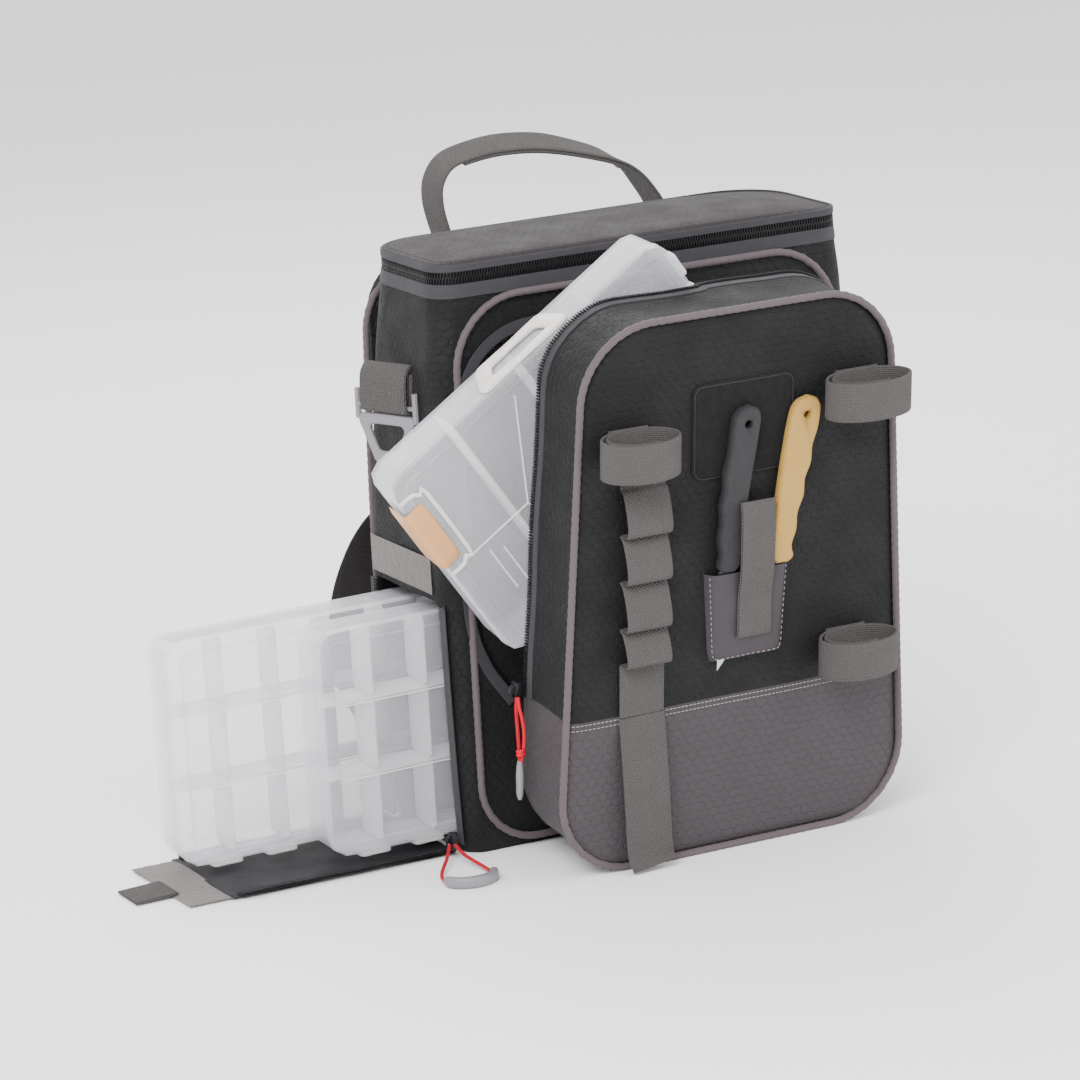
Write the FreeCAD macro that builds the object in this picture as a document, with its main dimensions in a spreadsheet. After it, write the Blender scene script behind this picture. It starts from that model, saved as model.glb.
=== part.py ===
import FreeCAD, Part
import math
import os
import re

from FreeCAD import Placement, Rotation, Vector

# Tackle backpack, in millimetres. +X is the bag's right seen from the front, the front faces -Y,
# +Z is up, and the origin is the centre of the bag's base on the floor. The bag stands open: its
# side door lies on the floor with two storage trays pulled half out, its front pocket leans
# forward on its bottom edge, and a third tray stands wedged between the pocket and the bag.

SIZES = {
    # main compartment
    "bag_width": 354, "bag_depth": 140, "zip_height": 445, "wall": 5, "back_wall": 8,
    "base_thick": 6, "base_corner": 26, "shelf_height": 200, "shelf_thick": 4, "hinge_height": 452,
    # lid
    "lid_crown": 14, "lid_corner": 42, "lid_wall": 5, "lid_rear_gap": 4, "chain_width": 10.5,
    "chain_thick": 4, "tape_width": 9, "cord_size": 5,
    # side door and its opening
    "door_length": 187, "door_width": 116, "door_thick": 4, "opening_top": 197, "hook_strip": 34,
    "tab_length": 30, "tab_width": 38,
    # storage trays
    "tray_length": 275, "tray_height": 176, "tray_thick": 46, "tray_wall": 1.8, "lid_depth": 8,
    "tray_corner": 14, "rear_tray_out": 201, "near_tray_out": 99, "tray_yaw": 1.4, "tray_roll": 0.3,
    # tray wedged behind the pocket
    "wedge_height": 184, "wedge_thick": 44, "wedge_turn": 35.4, "wedge_lean": 7.3, "wedge_x": -152,
    "wedge_z": 164,
    # front pocket
    "pocket_top_width": 256, "pocket_foot_width": 296, "pocket_height": 421, "pocket_depth": 71,
    "pocket_foot_depth": 96, "pocket_corner": 58, "pocket_lean": 6.3, "pocket_x": -3, "pocket_y": -172,
    "pocket_z": 3, "pocket_wall": 4, "seam_height": 122, "zip_end_height": 124,
    # webbing, straps and hardware
    "webbing": 30, "wide_webbing": 38, "handle_webbing": 25, "webbing_thick": 2, "handle_foot": 433,
    "handle_lean": 10, "anchor_webbing": 46, "anchor_front": -32, "anchor_turn": 24, "pad_width": 62,
    "pad_thick": 14, "pull_cord": 2.8,
}

document = FreeCAD.newDocument("TackleBackpack")
sheet = document.addObject("Spreadsheet::Sheet", "Sizes")
for row, (alias, number) in enumerate(SIZES.items(), start=1):
    sheet.set(f"A{row}", alias)
    sheet.set(f"B{row}", str(number))
    sheet.setAlias(f"B{row}", alias)
document.recompute()


def size(alias):
    """The number that the spreadsheet holds under this alias."""
    return float(sheet.get(alias))


def bind(feature, **expressions):
    """Bind properties of a feature to expressions written with the sheet's aliases."""
    for name, text in expressions.items():
        feature.setExpression(name, re.sub(r"[a-z_]{3,}", r"Sizes.\g<0>", text))


X_AXIS = Vector(1, 0, 0)
Y_AXIS = Vector(0, 1, 0)
Z_AXIS = Vector(0, 0, 1)
BAG = Placement()
sub_parts = []


def register(feature, label):
    """Give a finished sub-part its label and put it on the list of files to write."""
    feature.Label = label
    sub_parts.append(feature)
    return feature


def block(label, corner, length, width, height, frame=BAG):
    """A Part::Box with its sizes bound to the sheet and its low corner given in a frame."""
    box = document.addObject("Part::Box", label)
    bind(box, Length=length, Width=width, Height=height)
    box.Placement = frame * Placement(Vector(*corner), Rotation())
    return register(box, label)


def edges_along(shape, axis):
    """Names of a shape's straight edges that run along an axis."""
    names = []
    for number, edge in enumerate(shape.Edges, start=1):
        if len(edge.Vertexes) == 2:
            run = edge.Vertexes[1].Point - edge.Vertexes[0].Point
            if run.Length > 0 and abs(run.normalize().dot(axis)) > 0.999:
                names.append(f"Edge{number}")
    return names


def rounded_block(label, corner, length, width, height, radius, axis, frame=BAG, hollows=()):
    """A PartDesign body: a box, its edges along one axis rounded, then boxes cut out of it."""
    body = document.addObject("PartDesign::Body", label)
    box = body.newObject("PartDesign::AdditiveBox", label + "_box")
    bind(box, Length=length, Width=width, Height=height)
    document.recompute()
    rounding = body.newObject("PartDesign::Fillet", label + "_rounding")
    rounding.Base = (box, edges_along(box.Shape, axis))
    bind(rounding, Radius=radius)
    document.recompute()
    for number, (low, across) in enumerate(hollows, start=1):
        hollow = body.newObject("PartDesign::SubtractiveBox", f"{label}_hollow_{number}")
        bind(hollow, Length=across[0], Width=across[1], Height=across[2])
        hollow.Placement = Placement(Vector(*low), Rotation())
    document.recompute()
    body.Placement = frame * Placement(Vector(*corner), Rotation())
    return register(body, label)


def shaped(label, shape, frame=BAG):
    """A Part::Feature whose shape is worked out from the sheet's sizes."""
    feature = document.addObject("Part::Feature", label)
    feature.Shape = shape
    feature.Placement = frame
    return register(feature, label)


def slab(low, high):
    """A plain box shape between two opposite corners, in any order."""
    near = Vector(*map(min, low, high))
    return Part.makeBox(*(Vector(*map(max, low, high)) - near), near)


def rounded_outline(points, radius):
    """A closed wire through (x, y, z) corners, each corner turned into an arc."""
    corners = [Vector(*point) for point in points]
    count = len(corners)
    edges = []
    starts = []
    ends = []
    for index, corner in enumerate(corners):
        before = (corners[index - 1] - corner).normalize()
        after = (corners[(index + 1) % count] - corner).normalize()
        half = math.acos(max(-1, min(1, before.dot(after)))) / 2
        reach = radius / math.tan(half)
        middle = (before + after).normalize() * (radius / math.sin(half) - radius)
        starts.append(corner + before * reach)
        ends.append(corner + after * reach)
        edges.append(Part.Arc(starts[-1], corner + middle, ends[-1]).toShape())
    for index in range(count):
        following = (index + 1) % count
        if (starts[following] - ends[index]).Length > 0.001:
            edges.append(Part.LineSegment(ends[index], starts[following]).toShape())
    return Part.Wire(Part.__sortEdges__(edges))


def plate(points, radius, push):
    """A flat plate: a rounded outline pushed out along a vector."""
    return Part.Face(rounded_outline(points, radius)).extrude(Vector(*push))


def ring(outer, inner, radius, rim, push):
    """A flat ring between two rounded outlines, pushed out along a vector."""
    hole = plate(inner, max(radius - rim, 1), push)
    return plate(outer, radius, push).cut(hole)


def rectangle(low_x, high_x, low_y, high_y, level):
    """Corners of a level rectangle."""
    return [(low_x, low_y, level), (high_x, low_y, level), (high_x, high_y, level), (low_x, high_y, level)]


def upright(low_x, high_x, low_z, high_z, depth, narrow=0.0):
    """Corners of an upright rectangle facing the front, narrower at its top by `narrow` a side."""
    return [(low_x, depth, low_z), (high_x, depth, low_z),
            (high_x - narrow, depth, high_z), (low_x + narrow, depth, high_z)]


def ribbon(points, thick, width_axis, width):
    """A strap: a bent line given a thickness in its own plane, then pushed out along its width."""
    route = [Vector(*point) for point in points]
    across = Vector(*width_axis)
    sides = [[], []]
    for index, point in enumerate(route):
        before = route[max(index - 1, 0)]
        after = route[min(index + 1, len(route) - 1)]
        normal = (after - before).normalize().cross(across)
        sides[0].append(point + normal * (thick / 2))
        sides[1].append(point - normal * (thick / 2))
    outline = sides[0] + sides[1][::-1]
    face = Part.Face(Part.makePolygon(outline + outline[:1]))
    face.translate(across * (-width / 2))
    return face.extrude(across * width)


def arc_points(centre, radii, start, end, count):
    """Points (u, v) on an ellipse's arc, angles in degrees."""
    points = []
    for step in range(count + 1):
        angle = math.radians(start + (end - start) * step / count)
        points.append((centre[0] + radii[0] * math.cos(angle), centre[1] + radii[1] * math.sin(angle)))
    return points


def cord_tube(points, diameter):
    """A cord: straight runs joined by tangent arcs, each as large as its two runs allow."""
    route = [Vector(*point) for point in points]
    edges = []
    start = route[0]
    for index in range(1, len(route) - 1):
        corner = route[index]
        before = route[index - 1] - corner
        after = route[index + 1] - corner
        reach = 0.45 * min(before.Length, after.Length)
        before.normalize()
        after.normalize()
        half_turn = (math.pi - math.acos(max(-1, min(1, before.dot(after))))) / 2
        radius = reach / math.tan(half_turn)
        print(f"cord arc {index}: radius {radius:.1f} mm")
        inward = (before + after).normalize() * (reach / math.sin(half_turn) - radius)
        enter = corner + before * reach
        leave = corner + after * reach
        edges.append(Part.LineSegment(start, enter).toShape())
        edges.append(Part.Arc(enter, corner + inward, leave).toShape())
        start = leave
    edges.append(Part.LineSegment(start, route[-1]).toShape())
    path = Part.Wire(edges)
    circle = Part.Wire(Part.makeCircle(diameter / 2, route[0], route[1] - route[0]))
    tube = path.makePipeShell([circle], True, False)
    expected = math.pi * diameter ** 2 / 4 * path.Length
    print(f"cord length {path.Length:.1f} mm, volume {tube.Volume / expected:.3f} of its section times length")
    return tube


HALF_W = size("bag_width") / 2
HALF_D = size("bag_depth") / 2
WALL = size("wall")
ZIP = size("zip_height")
TAPE = size("tape_width")
CHAIN = size("chain_width")
FRONT = -HALF_D
LEFT = -HALF_W
INNER_BACK = HALF_D - size("back_wall")


# ---------------------------------------------------------------- main compartment

def make_shell():
    """The walls, the floor and the shelf over the tray bay, each a panel of its own."""
    base = size("base_thick")
    wall_top = ZIP - TAPE - CHAIN / 2
    wall_height = "zip_height - tape_width - chain_width / 2 - base_thick"
    top = size("opening_top")
    rounded_block("base_panel", (LEFT, FRONT, 0), "bag_width", "bag_depth", "base_thick",
                  "base_corner", Z_AXIS)
    block("front_panel", (LEFT, FRONT, base), "bag_width", "wall", wall_height)
    rounded_block("back_panel", (LEFT + 10, INNER_BACK, base), "bag_width - 20", "back_wall",
                  "hinge_height - base_thick", "lid_corner / 2", Y_AXIS)
    side_depth = "bag_depth - wall - back_wall"
    block("right_panel", (HALF_W - WALL, FRONT + WALL, base), "wall", side_depth, wall_height)
    block("left_upper_panel", (LEFT, FRONT + WALL, top), "wall", side_depth,
          "zip_height - tape_width - chain_width / 2 - opening_top")
    strip_front = FRONT + 13
    front_strip = slab((LEFT, FRONT + WALL, base), (LEFT + WALL, strip_front, top))
    rear_strip = slab((LEFT, strip_front + size("door_width"), base), (LEFT + WALL, INNER_BACK, top))
    shaped("opening_strips", Part.Compound([front_strip, rear_strip]))
    shelf = size("shelf_height")
    block("bay_shelf", (LEFT + WALL, FRONT + WALL, shelf), "bag_width - 2 * wall", side_depth, "shelf_thick")
    outer = rectangle(LEFT, HALF_W, FRONT, INNER_BACK, wall_top)
    inner = rectangle(LEFT + WALL, HALF_W - WALL, FRONT + WALL, INNER_BACK + 1, wall_top)
    tape = ring(outer, inner, 6, WALL, (0, 0, TAPE))
    shaped("rim_tape", tape.cut(slab((LEFT, INNER_BACK, wall_top), (HALF_W, HALF_D, ZIP))))
    return wall_top, strip_front


def make_piping(wall_top):
    """Corded piping round the front and back panels, as flat-sided rings."""
    cord = size("cord_size")
    inset = 12
    for label, depth in (("front_piping", FRONT - cord), ("back_piping", HALF_D)):
        outer = upright(LEFT + inset, HALF_W - inset, 4, wall_top, depth)
        inner = upright(LEFT + inset + cord, HALF_W - inset - cord, 4 + cord, wall_top - cord, depth)
        shaped(label, ring(outer, inner, 55, cord, (0, cord, 0)))


def make_side_details(strip_front):
    """Zip halves beside the tray opening, and the loop patch above it."""
    low = size("base_thick") + 2
    high = size("opening_top") - 2
    thick = 3
    rear = strip_front + size("door_width")
    halves = [slab((LEFT - thick, edge, low), (LEFT, edge + CHAIN / 2, high))
              for edge in (strip_front - CHAIN / 2, rear)]
    shaped("side_zip_halves", Part.Compound(halves))
    shaped("side_loop_patch", plate([(LEFT - 2, -42, high + 7), (LEFT - 2, 54, high + 7),
                                     (LEFT - 2, 54, high + 34), (LEFT - 2, -42, high + 34)], 3, (2, 0, 0)))


def make_back():
    """Back pad, shoulder pads and their lower webbing, all behind the back panel."""
    rounded_block("back_pad", (-110, HALF_D, 60), "bag_width - 136", "lid_wall + 7",
                  "zip_height - 145", "base_corner", Y_AXIS)
    pads = []
    webs = []
    thick = size("pad_thick")
    width = size("pad_width")
    for side in (-1, 1):
        route = [(HALF_D + 7.5, 400), (HALF_D + 20, 396), (HALF_D + 33, 376), (HALF_D + 43, 330),
                 (HALF_D + 47, 270), (HALF_D + 45, 205), (HALF_D + 40, 175)]
        strap = ribbon([(0, y, z) for y, z in route], thick, (1, 0, 0), width)
        strap.translate(Vector(side * 84, 0, 0))
        pads.append(strap)
        web_route = [(side * 84, HALF_D + 40, 173), (side * 98, HALF_D + 36, 130),
                     (side * 128, HALF_D + 22, 80), (side * 150, HALF_D + 6, 40)]
        webs.append(lower_webbing(web_route))
    shaped("shoulder_pads", Part.Compound(pads))
    shaped("lower_webbing", Part.Compound(webs))


def lower_webbing(route):
    """Flat webbing through a row of points, as short straight runs joined into one solid."""
    web = size("webbing")
    thick = size("webbing_thick")
    sections = []
    for x, y, z in route:
        outline = rounded_outline([(x - web / 2, y, z), (x + web / 2, y, z),
                                   (x + web / 2, y + thick, z), (x - web / 2, y + thick, z)], 0.5)
        sections.append(outline)
    return Part.makeLoft(sections, True, True)


# ---------------------------------------------------------------- lid and carry handle

def lid_section(inset, level):
    """The lid's plan outline, drawn in by `inset` at a height."""
    rear = INNER_BACK - size("lid_rear_gap")
    points = rectangle(LEFT + 2 + inset, HALF_W - 2 - inset, FRONT + 1 + inset, rear - inset / 3, level)
    return rounded_outline(points, max(size("lid_corner") - inset * 0.6, 8))


def make_lid():
    """A domed shell on a zip band. Its rear edge hangs from the back panel's top."""
    band_low = ZIP + CHAIN / 2 + 0.3
    band_top = band_low + TAPE / 2
    crown = band_low + size("lid_crown")
    outer = Part.makeLoft([lid_section(0, band_low), lid_section(0, band_top),
                           lid_section(12, crown - 4), lid_section(44, crown)], True, True)
    skin = size("lid_wall")
    inner = Part.makeLoft([lid_section(skin, band_low - 1), lid_section(skin, band_top - 1),
                           lid_section(12 + skin, crown - 4 - skin), lid_section(44 + skin, crown - skin)],
                          True, True)
    shaped("lid_cover", outer.cut(inner))
    ring_outer = Part.Face(lid_section(0.5, ZIP - CHAIN / 2 + 0.3)).extrude(Vector(0, 0, CHAIN))
    ring_inner = Part.Face(lid_section(size("chain_thick"), ZIP - CHAIN)).extrude(Vector(0, 0, 3 * CHAIN))
    shaped("lid_zip_chain", ring_outer.cut(ring_inner))
    slider = slab((HALF_W + 0.3, 30, ZIP - 9), (HALF_W + 5, 42, ZIP + 2)).fuse(
        slab((HALF_W + 5, 33.5, ZIP - 38), (HALF_W + 8, 38.5, ZIP)))
    shaped("lid_slider", slider)


def make_handle():
    """A webbing loop on the back panel's top edge, doubled into a grip at its top."""
    thick = 3
    web = size("handle_webbing")
    foot = size("handle_foot")
    frame = Placement(Vector(0, HALF_D + 1.5, foot), Rotation(X_AXIS, -size("handle_lean")))
    route = [(-86, 0), (-92, 20), (-95, 42), (-92, 58), (-81, 71), (-62, 77), (-32, 80), (4, 77),
             (40, 67), (64, 57), (80, 44), (94, 23), (104, 0)]
    loop = ribbon([(x, web / 2, z) for x, z in route], thick, (0, 1, 0), web)
    shaped("carry_handle", loop, frame)
    grip = [(x, web / 2, z - thick - 0.3) for x, z in route[5:10]]
    shaped("handle_grip", ribbon(grip, thick - 0.4, (0, 1, 0), web - 2), frame)


# ---------------------------------------------------------------- side door and its zip pull

def make_door(strip_front):
    """The door panel flat on the floor, with its hook strip and pull tab past its end."""
    hinge = LEFT - 3.5
    length = size("door_length")
    block("side_door", (hinge - length, strip_front, 0), "door_length", "door_width", "door_thick")
    strip_x = hinge - length - size("hook_strip") - 0.05
    block("door_hook_strip", (strip_x, strip_front + 3, 0), "hook_strip", "door_width - 12", "door_thick - 1")
    block("door_tab", (strip_x - size("tab_length") - 0.05, strip_front + 32, 0), "tab_length",
          "tab_width", "webbing_thick")


PULL_EYE = Vector(LEFT - 8, FRONT + 2, 12)


def make_side_pull():
    """The side zip's slider at the foot of the opening, its cord loop and its moulded grip."""
    x, y, z = PULL_EYE
    body = slab((x - 3, y, z - 5), (x + 3, y + 10, z + 6))
    shaped("side_slider", body.fuse(slab((x - 5, y - 1, z - 2), (x - 3, y + 7, z + 3))))
    loop = [(-7, -1, 0), (-15, -14, -4), (-27, -29, -7), (-36, -43, -8.6), (-38, -56, -8.8), (-31, -67, -8.8),
            (-19, -71, -8.8), (-7, -67, -8.8), (1, -56, -8.8), (2, -42, -8.6), (0, -28, -7), (-3, -13, -4),
            (-3, -3, 0)]
    route = [(x + out, y + along, z + up) for out, along, up in loop]
    shaped("side_pull_cord", cord_tube(route, size("pull_cord")))
    grip = arc_points((x - 18, y - 55), (19, 15), 185, 355, 14)
    tunnel = cord_tube(route, size("pull_cord") + 0.3)
    shaped("side_pull_grip", ribbon([(u, v, 3.3) for u, v in grip], 7, (0, 0, 1), 6.4).cut(tunnel))


# ---------------------------------------------------------------- storage trays

def make_tray(name, frame, height_alias, thick_alias, divider_rows=(), divider_columns=(), latch_places=()):
    """A storage tray: base with its cavity, lid with a lip, dividers, and edge latches."""
    wall = size("tray_wall")
    depth = size("lid_depth")
    length = size("tray_length")
    height = size(height_alias)
    thick = size(thick_alias)
    cavity = ((wall, -0.1, wall), ("tray_length - 2 * tray_wall",
                                  f"{thick_alias} - lid_depth - tray_wall + 0.1",
                                  f"{height_alias} - 2 * tray_wall"))
    rounded_block(name + "_base", (0, depth, 0), "tray_length", f"{thick_alias} - lid_depth", height_alias,
                  "tray_corner", Y_AXIS, frame, [cavity])
    lip_hollow = ((wall, wall, wall), ("tray_length - 2 * tray_wall", "lid_depth", cavity[1][2]))
    rounded_block(name + "_lid", (0, -0.02, 0), "tray_length", "lid_depth", height_alias,
                  "tray_corner", Y_AXIS, frame, [lip_hollow])
    dividers = []
    inner_depth = thick - depth - wall - 1
    for row in divider_rows:
        far_end = (length - wall - 0.05, depth + inner_depth, row + wall)
        dividers.append(slab((wall + 0.05, depth + 0.5, row), far_end))
    for column in divider_columns:
        dividers.append(slab((column, depth + 0.5, wall + 0.05),
                             (column + wall, depth + inner_depth, height - wall - 0.05)))
    shaped(name + "_dividers", Part.Compound(dividers), frame)
    if latch_places:
        latches = [slab((start, 3, -4), (start + 26, 14, -0.05)) for start in latch_places]
        shaped(name + "_latches", Part.Compound(latches), frame)


def side_tray_frame(out, centre_y):
    """Frame of a side tray: origin at its outer low front corner, x along its length."""
    turn = Rotation(Z_AXIS, size("tray_yaw")) * Rotation(Y_AXIS, -size("tray_roll"))
    corner = Vector(LEFT - out, centre_y - size("tray_thick") / 2, size("door_thick") + 6)
    return Placement(corner, turn)


def wedge_frame():
    """Frame of the wedged tray: x runs up its long side, z up its short side, y to the rear."""
    turn = Rotation(X_AXIS, size("wedge_lean")) * Rotation(Y_AXIS, -size("wedge_turn"))
    corner = Vector(size("wedge_x"), FRONT - size("cord_size") - 1 - size("wedge_thick"), size("wedge_z"))
    return Placement(corner, turn)


def make_trays():
    """Two trays in the side bay and one wedged behind the pocket, with its latch and handle."""
    rows = [58, 116]
    bumps = (24, 70, 180, 226)
    for name, out, centre_y in (("rear_tray", "rear_tray_out", 26.5), ("near_tray", "near_tray_out", -20)):
        make_tray(name, side_tray_frame(size(out), centre_y), "tray_height", "tray_thick", rows, (), bumps)
    frame = wedge_frame()
    height = size("wedge_height")
    columns = [size("tray_length") * part / 4 for part in (1, 2, 3)]
    make_tray("wedge_tray", frame, "wedge_height", "wedge_thick", (), columns)
    latch = slab((-4, -2.3, 100), (-0.1, 26, 158)).fuse(slab((-4, -2.3, 100), (16, -0.2, 158)))
    shaped("wedge_tray_latch", latch, frame)
    top = height + 0.1
    bar = ring([(98, 3, top), (188, 3, top), (176, 33, top), (110, 33, top)],
               [(113, 10, top), (173, 10, top), (165, 26, top), (121, 26, top)], 4, 3, (0, 0, 4))
    shaped("wedge_tray_handle", bar, frame)
    return frame


# ---------------------------------------------------------------- front pocket

def pocket_outline(inset, depth):
    """The pocket's face outline, wider at its foot, drawn in by `inset`."""
    foot = size("pocket_foot_width") / 2 - inset
    narrow = (size("pocket_foot_width") - size("pocket_top_width")) / 2
    return upright(-foot, foot, inset, size("pocket_height") - inset, depth, narrow)


def make_pocket(frame, tray_frame):
    """The pocket's face in two cloths, its gusset, piping and zip half."""
    corner = size("pocket_corner")
    wall = size("pocket_wall")
    depth = size("pocket_depth")
    seam = size("seam_height")
    face = plate(pocket_outline(0, 0), corner, (0, wall, 0))
    below = slab((-300, -1, -1), (300, wall + 1, seam))
    shaped("pocket_upper_panel", face.cut(below), frame)
    shaped("pocket_lower_panel", face.common(below), frame)
    zip_end = size("zip_end_height")
    lengthened = ring(pocket_outline(0, wall), pocket_outline(wall, wall), corner, wall,
                      (0, size("pocket_foot_depth") - wall, 0))
    stepped = lengthened.cut(slab((-300, depth, zip_end), (300, 300, 600)))
    stepped.Placement = frame
    bag_front = slab((-400, FRONT - size("cord_size") - 0.8, -50), (400, 300, 600))
    sweep = slab((-1.5, -1.5, -1.5), (size("tray_length") + 1.5, size("wedge_thick") + 60,
                                      size("wedge_height") + 400))
    sweep.Placement = tray_frame
    gusset = stepped.cut(bag_front).cut(sweep)
    shaped("pocket_gusset", gusset)
    cord = size("cord_size")
    edge = ring(pocket_outline(-1, -cord), pocket_outline(cord - 1, -cord), corner, cord, (0, cord - 0.02, 0))
    shaped("pocket_piping", edge, frame)
    chain_start = depth - CHAIN / 2
    rim = ring(pocket_outline(-3, chain_start), pocket_outline(-0.1, chain_start), corner, 3, (0, CHAIN / 2, 0))
    rim.Placement = frame
    lower = slab((-400, -400, -50), (400, 200, zip_end + 14))
    shaped("pocket_zip_half", rim.cut(sweep).cut(lower))


# foot of the handle across the pocket's face, lean in degrees, half the blade's width, the blade's
# length, and how far the handle curves to the right at its top
KNIVES = {"black_knife": (-12, 2, 7, 78, 11), "tan_knife": (32, 2, 5, 44, 18)}


def knife_place(foot, lean):
    """Where a knife's handle starts, just above the sheath's mouth, in the pocket's frame."""
    return Placement(Vector(foot, -4.5, 223), Rotation(Y_AXIS, lean))


def rolled_strap(x, z, radius_x, radius_y):
    """A hook-and-loop strap wound into an oval loop that stands off the pocket's face."""
    web = size("webbing")
    thick = 3
    outer = arc_points((x, -radius_y - thick), (radius_x, radius_y), 90, 425, 26)
    return ribbon([(u, v, z) for u, v in outer], thick, (0, 0, 1), web)


def make_pocket_tools(frame):
    """What is sewn on the pocket's face: loops, rolled straps, patch, sheath and retainer."""
    thick = size("webbing_thick")
    wide = size("wide_webbing")
    column = -82
    fold_heights = [300, 263, 227, 190, 162]
    route = [(-1.2, 312)]
    for high, low in zip(fold_heights, fold_heights[1:]):
        middle = (high + low) / 2
        route += [(-1.2, high), (-9, high - 6), (-14, middle), (-9, low + 7), (-1.2, low + 3)]
    route += [(-1.2, 154), (-1.2, 121)]
    loops = ribbon([(column, y, z) for y, z in route], thick, (1, 0, 0), wide)
    shaped("daisy_webbing", loops.cut(slab((-200, -0.05, 0), (200, 20, 400))), frame)
    hang = [(column, -1.3, 119), (column, -5.5, 90), (column, -7.5, 45), (column, -8, 4)]
    shaped("strap_end", ribbon(hang, thick, (1, 0, 0), wide), frame)
    rolls = [rolled_strap(-94, 331, 32, 19), rolled_strap(99, 348, 36, 18), rolled_strap(94, 145, 33, 19)]
    shaped("rolled_straps", Part.Compound(rolls), frame)
    shaped("pocket_loop_patch", plate(upright(-40, 46, 295, 369, -1.6), 8, (0, 1.55, 0)), frame)
    sheath = plate(upright(-27, 38, 152, 222, -8, -3), 3, (0, 7.95, 0))
    for foot, lean, half, depth, _ in KNIVES.values():
        slot = slab((-half - 0.6, -1.4, -depth - 20), (half + 0.6, 1.4, 30))
        slot.Placement = knife_place(foot, lean)
        sheath = sheath.cut(slot)
    shaped("tool_sheath", sheath, frame)
    keeper_route = [(9, -9.2, 172), (9, -9.2, 203), (9, -14.5, 219), (9, -14.5, 262), (9, -13.6, 276)]
    keeper = ribbon(keeper_route, thick, (1, 0, 0), size("webbing"))
    shaped("retainer_strap", keeper, frame)


def make_knife(name, frame):
    """A fixed-blade knife: finger-grooved handle with a lanyard hole, and a blade in the sheath."""
    foot, lean, half, blade_length, curve = KNIVES[name]
    place = frame * knife_place(foot, lean)
    length = 128
    outline = [(-9, 0), (9, 0), (11, 22), (9, 40), (12, 58), (10, 78), (13, 100), (12, 120), (4, length),
               (-6, length - 2), (-12, 112), (-11, 80), (-13, 50), (-11, 20)]
    curved = [Vector(x + curve * (z / length) ** 1.5, -7, z) for x, z in outline + outline[:1]]
    handle = Part.Face(Part.makePolygon(curved)).extrude(Vector(0, 9, 0))
    hole = Part.makeCylinder(3.5, 30, Vector(curve * 0.85, -15, length - 13), Y_AXIS)
    shaped(name + "_handle", handle.cut(hole), place)
    blade = [(-half, -0.05), (half, -0.05), (half, -blade_length * 0.8), (-half + 2, -blade_length)]
    blade_wire = Part.makePolygon([Vector(x, -1, z) for x, z in blade + blade[:1]])
    shaped(name + "_blade", Part.Face(blade_wire).extrude(Vector(0, 2, 0)), place)


def make_pocket_pull(frame):
    """The pocket zip's slider, its hanging cord loop and the moulded tip."""
    x = -size("pocket_foot_width") / 2 - 2.5
    y = size("pocket_depth") - 6
    z = size("zip_end_height") + 6
    slider = slab((x - 3, y - 5, z - 6), (x + 2, y + 5, z + 7))
    shaped("pocket_slider", slider, frame)
    cord = size("pull_cord")
    route = [(x - 3.6, y - 6, z - 3), (x - 5.5, y - 8, z - 11), (x - 5, y - 9, z - 24),
             (x - 4.2, y - 10, z - 40), (x - 4, y - 11, z - 55)]
    shaped("pocket_pull_cord", cord_tube(route, cord), frame)
    shaped("pocket_pull_tip", slab((x - 8, y - 14, z - 84), (x - 1, y - 9, z - 55.05)), frame)


# ---------------------------------------------------------------- strap anchors and buckles

def make_side_straps():
    """On each side wall a webbing loop that turns towards the front, and the buckle hung from it."""
    wide = size("anchor_webbing")
    thick = size("webbing_thick")
    middle = wide / 2
    half = middle + 5
    bar_out = 7.5
    bar_z = 344
    anchors = []
    for side, name in ((-1, "left"), (1, "right")):
        frame = Placement(Vector(side * (HALF_W + 2), size("anchor_front"), 0),
                          Rotation(Z_AXIS, -side * size("anchor_turn")))
        turn = arc_points((bar_out, bar_z), (3.9, 3.9), 0, -180, 8)
        route = [(3.4, 375), (11.4, 354)] + turn + [(3.4, 354), (1.2, 366)]
        anchor = ribbon([(side * out, middle, z) for out, z in route], thick, (0, 1, 0), wide)
        anchor.Placement = frame
        anchors.append(anchor)
        low = side * (bar_out - 1.5)
        body = plate([(low, middle - half, 336), (low, middle + half, 336), (low, middle + 13, 300),
                      (low, middle - 13, 300)], 4, (side * 3, 0, 0))
        window = plate([(low, middle - 20, 329), (low, middle + 20, 329), (low, middle + 9, 308),
                        (low, middle - 9, 308)], 3, (side * 3, 0, 0))
        bar = Part.makeCylinder(1.8, 2 * half - 4, Vector(side * bar_out, middle - half + 2, bar_z), Y_AXIS)
        buckle = body.cut(window).fuse(bar)
        for arm in (middle - half, middle + half - 4.4):
            buckle = buckle.fuse(slab((low, arm, 330), (low + side * 3, arm + 4.4, 356)))
        shaped(name + "_buckle", buckle, frame)
    shaped("strap_anchors", Part.Compound(anchors))


# ---------------------------------------------------------------- build, check and write

wall_top, strip_front = make_shell()
make_piping(wall_top)
make_side_details(strip_front)
make_back()
make_side_straps()
make_lid()
make_handle()
make_door(strip_front)
make_side_pull()
wedge = make_trays()
pocket = Placement(Vector(size("pocket_x"), size("pocket_y"), size("pocket_z")),
                   Rotation(X_AXIS, size("pocket_lean")))
make_pocket(pocket, wedge)
make_pocket_tools(pocket)
for knife in KNIVES:
    make_knife(knife, pocket)
make_pocket_pull(pocket)
document.recompute()

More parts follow.
